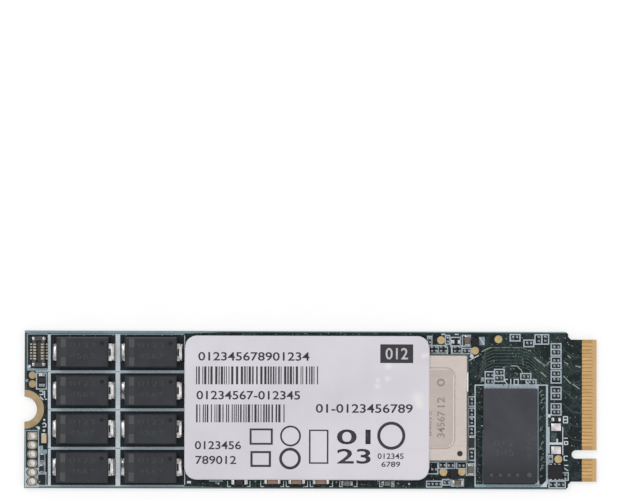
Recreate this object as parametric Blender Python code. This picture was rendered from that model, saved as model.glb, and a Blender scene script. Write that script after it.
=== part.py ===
"""Gumstick solid state drive: a bare 22 by 80 mm card with an edge connector, seen from its component side.

Metres, +Z up. The origin is at the bottom centre of the circuit board, +X points to the edge connector and the
components stand on the upper face. The card's length is the sum of its zones from the screw end to the connector.
Its width is what its edge connector, its controller, its flash packages and its capacitors need, which on this card
all come to 22 mm. So each zone and each part can change size by itself, and the rest follows.
"""

import math

import bmesh
import bpy

# Circuit board
BOARD_THICKNESS = 0.0008
LEAST_SHOULDER_STEP = 0.001075
SHOULDER_CHAMFER = 0.0003
TONGUE_ROOT_CHAMFER = 0.0004
TONGUE_LENGTH = 0.004
TONGUE_END_MARGIN = 0.000675
TIP_BEVEL_LENGTH = 0.0006
TIP_BEVEL_DEPTH = 0.0002
SCREW_NOTCH_RADIUS = 0.00175
GROUND_RING_WIDTH = 0.001
MASK_DEPTH = 0.00002
CURVE_STEPS = 16
CREASE_ANGLE = math.radians(35)

# Edge connector contacts, which alternate between the faces, so their pitch on one face is twice the half pitch
CONTACT_PITCH = 0.0005
CONTACT_WIDTH = 0.00035
CONTACT_LENGTH = 0.00145
CONTACT_GROOVE_DEPTH = 0.00003
CONTACT_POSITIONS = 75
UPPER_CONTACT_BLOCKS = ((1, 57), (67, 75))
LOWER_CONTACT_BLOCKS = ((2, 58), (68, 74))
KEY_POSITION = 62.5
KEY_WIDTH = 0.0012
KEY_DEPTH = 0.0035

# Zones along the card, from the screw end to the edge connector
SCREW_END_LENGTH = 0.00427
CAP_COLUMN_GAP = 0.00154
CAP_TO_FLASH_GAP = 0.00079
FLASH_GAP = 0.0002
FLASH_TO_CONTROLLER_GAP = 0.00022
CONTROLLER_TO_MEMORY_GAP = 0.00209
HOST_ZONE_LENGTH = 0.00441

# Room kept free across the card, between its long edges and what stands there
CONTROLLER_UPPER_STRIP = 0.00315
CONTROLLER_LOWER_STRIP = 0.00385
FLASH_UPPER_STRIP = 0.00165
FLASH_LOWER_STRIP = 0.00235
CAP_EDGE_MARGIN = 0.00084

# How all parts sit on the board: a thin film of solder
SOLDER_GAP = 0.00004
FIT_GAP = 0.00002

# Tantalum capacitors
CAP_COLUMNS = 2
CAP_ROWS = 4
CAP_BODY_LENGTH = 0.00734
CAP_WIDTH = 0.0043
CAP_HEIGHT = 0.00128
CAP_ROW_GAP = 0.00104
CAP_DRAFT = 0.00007
CAP_EDGE_BEVEL = 0.00014
CAP_CORNER_RADIUS = 0.00012
CAP_SEAM_SHARE = 0.5
EJECTOR_RADIUS = 0.00028
EJECTOR_DEPTH = 0.00005
EJECTOR_INSET_X = 0.0009
EJECTOR_INSET_Y = 0.0009
LEAD_WIDTH = 0.0024
LEAD_THICKNESS = 0.00012
LEAD_BEND_RADIUS = 0.00012
LEAD_FOOT_LENGTH = 0.0013
LEAD_POCKET_DEPTH = 0.0004
ANODE_LEAD_RUN = 0.00002
CATHODE_LEAD_RUN = 0.00027
LEAD_SLOT_WIDTH = 0.0007
BEND_STEPS = 3

# Flash packages
FLASH_COUNT = 2
FLASH_LENGTH = 0.012
FLASH_WIDTH = 0.018
FLASH_HEIGHT = 0.0011
PACKAGE_EDGE_BEVEL = 0.00006

# Controller
SUBSTRATE_SIZE = 0.015
SUBSTRATE_THICKNESS = 0.0005
DIE_LENGTH = 0.0078
DIE_WIDTH = 0.0072
DIE_THICKNESS = 0.0003
LID_INSET = 0.0002
LID_SHEET = 0.0002
LID_CORNER_RADIUS = 0.0003
LID_BRIM_WIDTH = 0.00175
LID_PLATEAU_RISE = 0.00045
LID_PLATEAU_RADIUS = 0.0012
LID_WALL_SLOPE = 0.00014
LID_EDGE_ROUND = 0.00006
LID_SHOULDER_ROUND = 0.0002
LID_SHOULDER_STEPS = 3
LID_CORNER_STEPS = 6

# Memory package on its solder balls
MEMORY_LENGTH = 0.0075
MEMORY_WIDTH = 0.0132
MEMORY_HEIGHT = 0.00085
MEMORY_EDGE_MARGIN = 0.0009
BALL_PITCH = 0.0008
BALL_RADIUS = 0.0002
BALL_HEIGHT = 0.00025
BALL_FIELD_MARGIN = 0.00055
BALL_EMPTY_COLUMNS = 3
BALL_SIDES = 6
BALL_SINK = 0.00003

# Label
LABEL_LENGTH = 0.03417
LABEL_WIDTH = 0.0201
LABEL_THICKNESS = 0.00009
LABEL_CORNER_RADIUS = 0.0017
LABEL_LEAD_IN = 0.0002
LABEL_SLOPE = 0.0005
LABEL_CORNER_STEPS = 6

# Small chips: length, width and height with the length of each plated end
TINY_CHIP = (0.00062, 0.0003, 0.0003, 0.00016)
SMALL_CHIP = (0.001, 0.0005, 0.00045, 0.00022)
STRAP_CHIP = (0.0016, 0.00085, 0.0005, 0.00035)
FILTER_CHIP = (0.0013, 0.0007, 0.0006, 0.0003)
SUPPLY_CHIP = (0.002, 0.00125, 0.00085, 0.0004)
BYPASS_CHIP = (0.0014, 0.00065, 0.0006, 0.0003)
ARRAY_CHIP = (0.0017, 0.0007, 0.0005, 0.0003)
CHIP_END_LIP = 0.00002
CHIP_SINK = 0.00003

# Rows of tiny chips
ABOVE_ROW_OFFSET = 0.00074
ABOVE_ROW_START = 0.0051
ABOVE_ROW_PITCH = 0.00065
ABOVE_ROW_COUNT = 7
ABOVE_ROW_EMPTY = 4
BESIDE_COLUMN_OFFSET = 0.00051
BESIDE_COLUMN_PLACES = (0.001, 0.00424, 0.00567, 0.00686, 0.00843)
LANE_COLUMN_OFFSET = 0.00166
LANE_PAIR_SPACING = 0.00076
LANE_PAIR_PLACES = (0.00855, 0.00665, 0.00477, 0.00244, 0.00019)

# Other tiny chips: place from the corner or edge that each list is named after, and whether the chip stands upright
FLAT, UPRIGHT = False, True
CHIPS_AT_CONTROLLER_TOP = (
    (-0.00537, 0.00194, UPRIGHT),
    (-0.00287, 0.00206, UPRIGHT),
    (-0.00018, 0.00048, FLAT),
)
CHIPS_AT_CONTROLLER_FOOT = (
    (-0.00475, -0.00108, FLAT),
    (-0.00352, -0.0005, FLAT),
    (-0.00242, -0.00054, FLAT),
    (-0.0009, -0.00054, FLAT),
    (-0.00294, -0.00291, FLAT),
    (-0.00521, -0.00314, FLAT),
    (-0.00411, -0.00314, FLAT),
)
CHIPS_AT_MEMORY_TOP = (
    (-0.00274, 0.00184, FLAT),
    (-0.00274, 0.00094, FLAT),
    (-0.00149, 0.00223, FLAT),
    (-0.00149, 0.00143, FLAT),
    (0.00226, 0.00168, FLAT),
    (0.00302, 0.00087, FLAT),
)
CHIPS_AT_UPPER_EDGE = (
    (0.00072, -0.00072, FLAT),
    (0.00268, -0.00154, FLAT),
    (0.00402, -0.00097, UPRIGHT),
    (0.00495, -0.00095, UPRIGHT),
)
CHIPS_AT_SHOULDER = (
    (-0.00247, 0.00427, UPRIGHT),
    (-0.00043, 0.00178, UPRIGHT),
    (-0.00214, 0.00066, FLAT),
    (-0.00098, 0.00068, FLAT),
)

# Chips that are pieces of their own: name, size, surface, place as above, and whether the chip stands upright
SCREW_END_PIECES = (
    ("strap_resistor", STRAP_CHIP, "resistor_body", 0.00246, 0.0041, UPRIGHT),
)
HEADER_PIECES = (
    ("header_capacitor", FILTER_CHIP, "ceramic", 0.00279, 0.00696, UPRIGHT),
    ("header_resistor_1", SMALL_CHIP, "resistor_body", 0.00256, 0.0043, UPRIGHT),
    ("header_resistor_2", SMALL_CHIP, "resistor_body", 0.0025, 0.00276, UPRIGHT),
)
CONTROLLER_TOP_PIECES = (
    ("controller_capacitor_1", SMALL_CHIP, "ceramic", -0.00173, 0.00174, FLAT),
    ("controller_capacitor_2", FILTER_CHIP, "ceramic", -0.00017, 0.00191, UPRIGHT),
)
CONTROLLER_FOOT_PIECES = (
    ("controller_capacitor_3", FILTER_CHIP, "ceramic", 0.00033, -0.0011, UPRIGHT),
    ("controller_capacitor_4", FILTER_CHIP, "ceramic", -0.00147, -0.00294, FLAT),
    ("resistor_array", ARRAY_CHIP, "resistor_body", 0.00051, 0.00265, UPRIGHT),
)
LOWER_EDGE_PIECES = (
    ("supply_resistor", SUPPLY_CHIP, "resistor_body", 0.00748, 0.00125, FLAT),
    ("supply_capacitor_1", SUPPLY_CHIP, "ceramic", 0.01206, 0.00135, FLAT),
    ("supply_capacitor_2", SUPPLY_CHIP, "ceramic", 0.01548, 0.00135, FLAT),
    ("supply_capacitor_3", SUPPLY_CHIP, "ceramic", 0.01886, 0.00135, FLAT),
    ("bypass_capacitor_1", BYPASS_CHIP, "ceramic", 0.02248, 0.00081, FLAT),
    ("bypass_capacitor_2", BYPASS_CHIP, "ceramic", 0.02815, 0.00081, FLAT),
)
SHOULDER_PIECES = (
    ("lane_capacitor", SMALL_CHIP, "ceramic", -0.00169, 0.00978, FLAT),
)

# Bare pads: place from the corner or edge that each list is named after
TEST_PAD_RADIUS = 0.00055
STACKED_PAD_RADIUS = 0.00052
PAD_STEPS = 16
PADS_AT_CONTROLLER_TOP = ((-0.0038, 0.00196), (0.00095, 0.00051))
PADS_AT_CONTROLLER_FOOT = ((-0.00344, -0.00147), (-0.00083, -0.00142))
PADS_AT_UPPER_EDGE = ((-0.00161, -0.00105),)
PADS_AT_SHOULDER = ((-0.00136, 0.00422),)
STACKED_PADS = ((0.0011, 0.00477), (0.0011, 0.00354))
TINNED_PADS = ((-0.00168, 0.0087), (-0.00168, 0.00547))
TINNED_PAD_LENGTH = 0.0014
TINNED_PAD_WIDTH = 0.0011
TINNED_PAD_RADIUS = 0.00014

# Header of plated holes at the screw end
HEADER_COUNT = 6
HEADER_PITCH = 0.00127
HEADER_HOLE_RADIUS = 0.000345
HEADER_PAD_LENGTH = 0.0014
HEADER_PAD_WIDTH = 0.00114
HEADER_PAD_RADIUS = 0.0005
HEADER_FIRST_PAD_RADIUS = 0.00006
HEADER_INSET = 0.00113
HEADER_END_MARGIN = 0.00093

# Board to board connector
LINK_LENGTH = 0.0042
LINK_WIDTH = 0.0017
LINK_HEIGHT = 0.0009
LINK_WALL = 0.00045
LINK_END_WALL = 0.00055
LINK_FLOOR = 0.0003
LINK_CONTACTS = 6
LINK_PITCH = 0.0004
LINK_CONTACT_WIDTH = 0.0002
LINK_CONTACT_SKIN = 0.00006
LINK_TAIL_LENGTH = 0.00037
LINK_TAIL_THICKNESS = 0.00012
LINK_NAIL_LENGTH = 0.0003
LINK_NAIL_INSET = 0.0003
LINK_INSET = 0.00201
LINK_EDGE_MARGIN = 0.00292

# Small packages
REGULATOR_SIZE = (0.002, 0.0019, 0.0007)
REGULATOR_PIN_PITCH = 0.0006
REGULATOR_PIN_WIDTH = 0.00028
REGULATOR_PIN_THICKNESS = 0.00015
REGULATOR_PIN_REACH = 0.00006
REGULATOR_PIN_ROOT = 0.00032
CLOCK_DRIVER_SIZE = (0.0011, 0.0014, 0.0005)
SUPERVISOR_SIZE = (0.00093, 0.00128, 0.0005)
INDUCTOR_SIZE = (0.00105, 0.00105, 0.0008)
REGULATOR_PLACE = (-0.00182, 0.00246)
CLOCK_DRIVER_PLACE = (-0.00196, -0.00175)
SUPERVISOR_PLACE = (0.00248, 0.00125)
INDUCTOR_PLACE = (0.00096, 0.0017)

# Worked out from the sizes above
TONGUE_WIDTH = (CONTACT_POSITIONS - 1) * CONTACT_PITCH / 2 + 2 * TONGUE_END_MARGIN
LEAD_BEND_REACH = LEAD_BEND_RADIUS + LEAD_THICKNESS / 2
ANODE_REACH = ANODE_LEAD_RUN + LEAD_BEND_REACH
CATHODE_REACH = CATHODE_LEAD_RUN + LEAD_BEND_REACH
CAP_LENGTH = ANODE_REACH + CAP_BODY_LENGTH + CATHODE_REACH
CAP_BANK_WIDTH = CAP_ROWS * CAP_WIDTH + (CAP_ROWS - 1) * CAP_ROW_GAP
BOARD_WIDTH = max(
    TONGUE_WIDTH + 2 * LEAST_SHOULDER_STEP,
    CONTROLLER_LOWER_STRIP + SUBSTRATE_SIZE + CONTROLLER_UPPER_STRIP,
    FLASH_LOWER_STRIP + FLASH_WIDTH + FLASH_UPPER_STRIP,
    CAP_BANK_WIDTH + 2 * CAP_EDGE_MARGIN,
)
CAPS_LENGTH = CAP_COLUMNS * CAP_LENGTH + (CAP_COLUMNS - 1) * CAP_COLUMN_GAP
FLASH_ZONE_START = SCREW_END_LENGTH + CAPS_LENGTH + CAP_TO_FLASH_GAP
FLASH_ZONE_LENGTH = FLASH_COUNT * FLASH_LENGTH + (FLASH_COUNT - 1) * FLASH_GAP
CONTROLLER_START = FLASH_ZONE_START + FLASH_ZONE_LENGTH + FLASH_TO_CONTROLLER_GAP
MEMORY_START = CONTROLLER_START + SUBSTRATE_SIZE + CONTROLLER_TO_MEMORY_GAP
BOARD_LENGTH = MEMORY_START + MEMORY_LENGTH + HOST_ZONE_LENGTH + TONGUE_LENGTH
SCREW_END = -BOARD_LENGTH / 2
TIP = BOARD_LENGTH / 2
SHOULDER = TIP - TONGUE_LENGTH
UPPER_EDGE = BOARD_WIDTH / 2
LOWER_EDGE = -BOARD_WIDTH / 2
CONTROLLER_X = SCREW_END + CONTROLLER_START + SUBSTRATE_SIZE / 2
CONTROLLER_Y = (CONTROLLER_LOWER_STRIP - CONTROLLER_UPPER_STRIP) / 2
FLASH_Y = (FLASH_LOWER_STRIP - FLASH_UPPER_STRIP) / 2
MEMORY_X = SCREW_END + MEMORY_START + MEMORY_LENGTH / 2
MEMORY_Y = LOWER_EDGE + MEMORY_EDGE_MARGIN + MEMORY_WIDTH / 2
LID_SIZE = SUBSTRATE_SIZE - 2 * LID_INSET
LID_PLATEAU_SIZE = LID_SIZE - 2 * LID_BRIM_WIDTH
SEAT = BOARD_THICKNESS + SOLDER_GAP
SUBSTRATE_TOP = SEAT + SUBSTRATE_THICKNESS
PLATEAU_TOP = SUBSTRATE_TOP + FIT_GAP + LID_SHEET + LID_PLATEAU_RISE
LABEL_LOW = SEAT + FLASH_HEIGHT + FIT_GAP
LABEL_HIGH = PLATEAU_TOP + FIT_GAP
CONTROLLER_TOP_CORNER = (CONTROLLER_X + SUBSTRATE_SIZE / 2, CONTROLLER_Y + SUBSTRATE_SIZE / 2)
CONTROLLER_FOOT_CORNER = (CONTROLLER_X + SUBSTRATE_SIZE / 2, CONTROLLER_Y - SUBSTRATE_SIZE / 2)
MEMORY_TOP = (MEMORY_X, MEMORY_Y + MEMORY_WIDTH / 2)
MEMORY_UPPER_EDGE = (MEMORY_X, UPPER_EDGE)
SCREW_END_MIDDLE = (SCREW_END, 0.0)
SCREW_END_CORNER = (SCREW_END, LOWER_EDGE)
FLASH_LOWER_EDGE = (SCREW_END + FLASH_ZONE_START, LOWER_EDGE)
SHOULDER_CORNER = (SHOULDER, LOWER_EDGE)
LEFT, RIGHT = -1, 1


def clear_scene():
    for item in list(bpy.data.objects):
        bpy.data.objects.remove(item, do_unlink=True)


def material(name, colour, roughness, metallic=0.0):
    made = bpy.data.materials.new(name)
    made.use_nodes = True
    shader = made.node_tree.nodes["Principled BSDF"]
    shader.inputs["Base Color"].default_value = (*colour, 1.0)
    shader.inputs["Roughness"].default_value = roughness
    shader.inputs["Metallic"].default_value = metallic
    return made


def make_object(name, mesh, surface, parent=None, hidden=False):
    """Links a mesh to the scene as an object with one material."""
    made = bpy.data.objects.new(name, mesh)
    bpy.context.scene.collection.objects.link(made)
    if surface is not None and not mesh.materials:
        mesh.materials.append(surface)
    made.parent = parent
    if hidden:
        made.hide_render = True
        made.display_type = "WIRE"
    return made


def rounded_outline(length, width, radius, steps):
    """A rectangle about the origin, anticlockwise, with each corner an arc of that many steps."""
    points = []
    for corner, (side_x, side_y) in enumerate(((1, 1), (-1, 1), (-1, -1), (1, -1))):
        for step in range(steps + 1):
            angle = math.pi / 2 * (corner + step / max(steps, 1))
            x = side_x * (length / 2 - radius) + radius * math.cos(angle)
            y = side_y * (width / 2 - radius) + radius * math.sin(angle)
            points.append((x, y))
    return points


def circle_outline(radius, steps):
    turn = 2 * math.pi / steps
    return [(radius * math.cos(turn * i), radius * math.sin(turn * i)) for i in range(steps)]


def shifted(outline, x, y):
    return [(px + x, py + y) for px, py in outline]


def at_height(outline, z):
    return [(x, y, z) for x, y in outline]


def add_loft(shape, rings):
    """Adds a closed solid through rings of equally many points, capped at the first and the last ring."""
    loops = [[shape.verts.new(point) for point in ring] for ring in rings]
    count = len(loops[0])
    for lower, upper in zip(loops, loops[1:]):
        for i in range(count):
            j = (i + 1) % count
            shape.faces.new((lower[i], lower[j], upper[j], upper[i]))
    shape.faces.new(list(reversed(loops[0])))
    shape.faces.new(loops[-1])


def add_prism(shape, outline, bottom, top):
    add_loft(shape, [at_height(outline, bottom), at_height(outline, top)])


def add_box(shape, x_range, y_range, z_range):
    left, right = sorted(x_range)
    lower, upper = sorted(y_range)
    add_prism(shape, [(left, lower), (right, lower), (right, upper), (left, upper)], *z_range)


def to_mesh(shape, name):
    """Turns a bmesh into a mesh whose faces all point out."""
    bmesh.ops.recalc_face_normals(shape, faces=shape.faces)
    mesh = bpy.data.meshes.new(name)
    shape.to_mesh(mesh)
    shape.free()
    return mesh


def loft_mesh(name, rings):
    shape = bmesh.new()
    add_loft(shape, rings)
    return to_mesh(shape, name)


def shade_round(mesh):
    """Shades a mesh smooth where it curves, with its real corners kept crisp."""
    mesh.shade_smooth()
    mesh.set_sharp_from_angle(angle=CREASE_ANGLE)
    return mesh


def add_boolean(target, name, shape, operation):
    """Cuts a bmesh from an object, or joins it to the object, with an exact Boolean."""
    tool = make_object(name, to_mesh(shape, name), None, hidden=True)
    modifier = target.modifiers.new(name, "BOOLEAN")
    modifier.operation = operation
    modifier.object = tool
    modifier.solver = "EXACT"


def keep_result(target):
    """Replaces an object's mesh by what its modifiers make of it, so that copies can share it."""
    graph = bpy.context.evaluated_depsgraph_get()
    finished = bpy.data.meshes.new_from_object(target.evaluated_get(graph))
    target.modifiers.clear()
    target.data = finished


def place(item, x, y, z, turn=0.0):
    item.location = (x, y, z)
    item.rotation_euler = (0.0, 0.0, turn)


def contact_y(position):
    """Where a contact position lies across the tongue, position 1 nearest the upper edge."""
    return ((CONTACT_POSITIONS + 1) / 2 - position) * CONTACT_PITCH / 2


def arc(centre_x, centre_y, radius, start, end, steps):
    turn = (end - start) / steps
    angles = [math.radians(start + turn * i) for i in range(steps + 1)]
    return [(centre_x + radius * math.cos(a), centre_y + radius * math.sin(a)) for a in angles]


def board_outline():
    """The card's outline, anticlockwise from the screw end's lower corner."""
    half_tongue = TONGUE_WIDTH / 2
    key_y = contact_y(KEY_POSITION)
    key_radius = KEY_WIDTH / 2
    root = TONGUE_ROOT_CHAMFER
    lower = [
        (SCREW_END, LOWER_EDGE),
        (SHOULDER - SHOULDER_CHAMFER, LOWER_EDGE),
        (SHOULDER, LOWER_EDGE + SHOULDER_CHAMFER),
        (SHOULDER, -half_tongue - root),
        (SHOULDER + root, -half_tongue),
        (TIP, -half_tongue),
    ]
    upper = [(x, -y) for x, y in reversed(lower)]
    key = [(TIP, key_y - key_radius)]
    key += arc(TIP - KEY_DEPTH + key_radius, key_y, key_radius, 270, 90, CURVE_STEPS // 2)
    key += [(TIP, key_y + key_radius)]
    notch = arc(SCREW_END, 0.0, SCREW_NOTCH_RADIUS, 90, -90, CURVE_STEPS)
    return lower + key + upper + notch


def tip_bevels():
    """Wedges that thin the tongue's tip on both faces, so that it slides into its socket."""
    shape = bmesh.new()
    reach = 2 * TIP_BEVEL_LENGTH
    slope = TIP_BEVEL_DEPTH / TIP_BEVEL_LENGTH
    clearance = BOARD_THICKNESS
    for face, outward in ((BOARD_THICKNESS, 1), (0.0, -1)):
        start = (TIP - TIP_BEVEL_LENGTH - reach, face + outward * slope * reach)
        end = (TIP + reach, face - outward * slope * (TIP_BEVEL_LENGTH + reach))
        wedge = [start, end, (end[0], face + outward * clearance), (start[0], face + outward * clearance)]
        rings = [[(x, y, z) for x, z in wedge] for y in (-BOARD_WIDTH, BOARD_WIDTH)]
        add_loft(shape, rings)
    return shape


def contact_grooves():
    """The grooves of bare laminate between neighbouring contacts, on both faces."""
    shape = bmesh.new()
    start = TIP - TIP_BEVEL_LENGTH - CONTACT_LENGTH
    half_gap = (CONTACT_PITCH - CONTACT_WIDTH) / 2
    blocks_of_faces = (UPPER_CONTACT_BLOCKS, LOWER_CONTACT_BLOCKS)
    for blocks, z_range in zip(blocks_of_faces, both_faces(CONTACT_GROOVE_DEPTH)):
        for first, last in blocks:
            for position in range(first, last, 2):
                y = contact_y(position + 1)
                add_box(shape, (start, TIP + CONTACT_LENGTH), (y - half_gap, y + half_gap), z_range)
    return shape


def places_from(corner, offsets):
    """Moves a list of offsets, and whatever follows each one, to the corner they are measured from."""
    return [(corner[0] + x, corner[1] + y, *rest) for x, y, *rest in offsets]


def header_places():
    """Centres of the header's holes, from the one that stands first to the one at the card's corner."""
    x = SCREW_END + HEADER_INSET
    last = LOWER_EDGE + HEADER_END_MARGIN
    return [(x, last + (HEADER_COUNT - 1 - i) * HEADER_PITCH) for i in range(HEADER_COUNT)]


def both_faces(depth):
    """Height ranges that cut to a depth into the upper face and into the lower face."""
    return (BOARD_THICKNESS - depth, BOARD_THICKNESS + depth), (-depth, depth)


def ring_openings():
    """Openings in the solder mask over the ground ring round the screw notch, on both faces."""
    shape = bmesh.new()
    ring = shifted(circle_outline(SCREW_NOTCH_RADIUS + GROUND_RING_WIDTH, 2 * CURVE_STEPS), SCREW_END, 0.0)
    for z_range in both_faces(MASK_DEPTH):
        add_prism(shape, ring, *z_range)
    return shape


def pad_openings():
    """Openings in the solder mask over the header's pads, on both faces, and over the upper face's bare pads."""
    shape = bmesh.new()
    upper, lower = both_faces(MASK_DEPTH)
    for index, (x, y) in enumerate(header_places()):
        radius, steps = (HEADER_PAD_RADIUS, PAD_STEPS // 4) if index else (HEADER_FIRST_PAD_RADIUS, 1)
        pad = shifted(rounded_outline(HEADER_PAD_LENGTH, HEADER_PAD_WIDTH, radius, steps), x, y)
        add_prism(shape, pad, *upper)
        add_prism(shape, pad, *lower)
    round_pads = places_from(CONTROLLER_TOP_CORNER, PADS_AT_CONTROLLER_TOP)
    round_pads += places_from(CONTROLLER_FOOT_CORNER, PADS_AT_CONTROLLER_FOOT)
    round_pads += places_from(MEMORY_UPPER_EDGE, PADS_AT_UPPER_EDGE)
    round_pads += places_from(SHOULDER_CORNER, PADS_AT_SHOULDER)
    for x, y in round_pads:
        add_prism(shape, shifted(circle_outline(TEST_PAD_RADIUS, PAD_STEPS), x, y), *upper)
    for x, y in places_from(SCREW_END_MIDDLE, STACKED_PADS):
        add_prism(shape, shifted(circle_outline(STACKED_PAD_RADIUS, PAD_STEPS), x, y), *upper)
    for x, y in places_from(SHOULDER_CORNER, TINNED_PADS):
        pad = rounded_outline(TINNED_PAD_LENGTH, TINNED_PAD_WIDTH, TINNED_PAD_RADIUS, 1)
        add_prism(shape, shifted(pad, x, y), *upper)
    return shape


def header_holes():
    shape = bmesh.new()
    for x, y in header_places():
        hole = shifted(circle_outline(HEADER_HOLE_RADIUS, PAD_STEPS), x, y)
        add_prism(shape, hole, -BOARD_THICKNESS, 2 * BOARD_THICKNESS)
    return shape


def chip_rings(size, bottom):
    """Rings along X of a chip: a slimmer body between two plated ends that share its seat."""
    length, width, height, end = size
    sections = ((-length / 2, 0), (end - length / 2, 0), (end - length / 2, 1))
    sections += tuple((-x, slim) for x, slim in reversed(sections))
    rings = []
    for x, slim in sections:
        half = width / 2 - slim * CHIP_END_LIP
        top = height - slim * CHIP_END_LIP
        rings.append([(x, -half, bottom), (x, half, bottom), (x, half, top), (x, -half, top)])
    return rings


def add_chip(shape, size, x, y, upright):
    """Adds one chip, lying along X or upright along Y, sunk a little into the board that carries it."""
    rings = []
    for ring in chip_rings(size, -CHIP_SINK):
        turned = [(-py, px, pz) if upright else (px, py, pz) for px, py, pz in ring]
        rings.append([(px + x, py + y, pz + BOARD_THICKNESS) for px, py, pz in turned])
    add_loft(shape, rings)


def tiny_chip_places():
    """Centre of each tiny chip, and whether it stands upright in the plan."""
    right, top = CONTROLLER_TOP_CORNER
    foot = CONTROLLER_FOOT_CORNER[1]
    places = []
    for index in range(ABOVE_ROW_COUNT):
        if index != ABOVE_ROW_EMPTY:
            x = right - ABOVE_ROW_START + index * ABOVE_ROW_PITCH
            places.append((x, top + ABOVE_ROW_OFFSET, UPRIGHT))
    for y in BESIDE_COLUMN_PLACES:
        places.append((right + BESIDE_COLUMN_OFFSET, foot + y, UPRIGHT))
    for y in LANE_PAIR_PLACES:
        for side in (-1, 1):
            places.append((SHOULDER - LANE_COLUMN_OFFSET, y + side * LANE_PAIR_SPACING / 2, FLAT))
    places += places_from(CONTROLLER_TOP_CORNER, CHIPS_AT_CONTROLLER_TOP)
    places += places_from(CONTROLLER_FOOT_CORNER, CHIPS_AT_CONTROLLER_FOOT)
    places += places_from(MEMORY_TOP, CHIPS_AT_MEMORY_TOP)
    places += places_from(MEMORY_UPPER_EDGE, CHIPS_AT_UPPER_EDGE)
    places += places_from(SHOULDER_CORNER, CHIPS_AT_SHOULDER)
    return places


def tiny_chips():
    shape = bmesh.new()
    for x, y, upright in tiny_chip_places():
        add_chip(shape, TINY_CHIP, x, y, upright)
    return shape


def build_board(surface, root):
    """The laminated board with its contacts, pads, plated holes and the tiny chips soldered on it."""
    outline = board_outline()
    mesh = loft_mesh("circuit_board", [at_height(outline, 0.0), at_height(outline, BOARD_THICKNESS)])
    board = make_object("circuit_board", mesh, surface, root)
    add_boolean(board, "tip_bevels", tip_bevels(), "DIFFERENCE")
    add_boolean(board, "contact_grooves", contact_grooves(), "DIFFERENCE")
    add_boolean(board, "ring_openings", ring_openings(), "DIFFERENCE")
    add_boolean(board, "pad_openings", pad_openings(), "DIFFERENCE")
    add_boolean(board, "header_holes", header_holes(), "DIFFERENCE")
    add_boolean(board, "tiny_chips", tiny_chips(), "UNION")


def lead_path(run):
    """Centre line of a bent lead in its own X and Z, from inside the case along its run, down and under the case."""
    seam = lead_seam_height()
    foot = LEAD_THICKNESS / 2
    radius = LEAD_BEND_RADIUS
    upper_bend = arc(run, seam - radius, radius, 90, 0, BEND_STEPS)
    lower_bend = arc(run, foot + radius, radius, 0, -90, BEND_STEPS)
    inside = FIT_GAP - LEAD_POCKET_DEPTH
    return [(inside, seam)] + upper_bend + lower_bend + [(-LEAD_FOOT_LENGTH, foot)]


def lead_seam_height():
    """Height above the solder of the seam where the two halves of the mould meet and the leads come out."""
    return LEAD_THICKNESS + FIT_GAP + CAP_SEAM_SHARE * CAP_HEIGHT


def strip_outline(path, thickness):
    """Outline of a strip of even thickness along a path, mitred where the path turns."""
    near, far = [], []
    for i, (x, z) in enumerate(path):
        before = path[max(i - 1, 0)]
        after = path[min(i + 1, len(path) - 1)]
        first = math.atan2(z - before[1], x - before[0]) if i else None
        second = math.atan2(after[1] - z, after[0] - x) if i < len(path) - 1 else None
        first = second if first is None else first
        second = first if second is None else second
        middle = math.atan2(math.sin(first) + math.sin(second), math.cos(first) + math.cos(second))
        offset = thickness / 2 / math.cos(middle - first)
        side_x, side_z = -math.sin(middle) * offset, math.cos(middle) * offset
        near.append((x + side_x, z + side_z))
        far.append((x - side_x, z - side_z))
    return near + far[::-1]


def lead_mesh(name, run):
    """A bent lead that runs out of its case by that much before it turns down."""
    outline = strip_outline(lead_path(run), LEAD_THICKNESS)
    half = LEAD_WIDTH / 2
    return shade_round(loft_mesh(name, [[(x, y, z) for x, z in outline] for y in (half, -half)]))


def slotted_lead_mesh(name, run):
    """A bent lead with a slot in its run, beside the case."""
    lead = make_object("lead_template", lead_mesh(name, run), None)
    slot = bmesh.new()
    seam = lead_seam_height()
    half_slot = LEAD_SLOT_WIDTH / 2
    add_box(slot, (FIT_GAP, run), (-half_slot, half_slot), (seam - LEAD_THICKNESS, seam + LEAD_THICKNESS))
    add_boolean(lead, "lead_slot", slot, "DIFFERENCE")
    keep_result(lead)
    finished = shade_round(lead.data)
    bpy.data.objects.remove(lead, do_unlink=True)
    return finished


def case_mesh():
    """A moulded case with drafted halves, a bevelled top, an ejector mark and a pocket for each lead."""
    bottom = LEAD_THICKNESS + FIT_GAP
    seam = lead_seam_height()
    top = bottom + CAP_HEIGHT
    radius = CAP_CORNER_RADIUS
    body = CAP_BODY_LENGTH
    levels = (
        (2 * CAP_DRAFT, bottom),
        (0.0, seam),
        (2 * CAP_DRAFT, top - CAP_EDGE_BEVEL),
        (2 * CAP_DRAFT + 2 * CAP_EDGE_BEVEL, top),
    )
    rings = [at_height(rounded_outline(body - s, CAP_WIDTH - s, radius, 1), z) for s, z in levels]
    case = make_object("case_template", loft_mesh("case", rings), None)
    cuts = bmesh.new()
    half_gap = LEAD_THICKNESS / 2 + FIT_GAP
    half_width = LEAD_WIDTH / 2 + FIT_GAP
    for side in (LEFT, RIGHT):
        ends = (side * (body / 2 - LEAD_POCKET_DEPTH), side * (body / 2 + LEAD_POCKET_DEPTH))
        add_box(cuts, ends, (-half_width, half_width), (seam - half_gap, seam + half_gap))
    mark = circle_outline(EJECTOR_RADIUS, PAD_STEPS)
    mark = shifted(mark, body / 2 - EJECTOR_INSET_X, CAP_WIDTH / 2 - EJECTOR_INSET_Y)
    add_prism(cuts, mark, top - EJECTOR_DEPTH, top + EJECTOR_DEPTH)
    add_boolean(case, "case_cuts", cuts, "DIFFERENCE")
    keep_result(case)
    finished = case.data
    bpy.data.objects.remove(case, do_unlink=True)
    return finished


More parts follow.
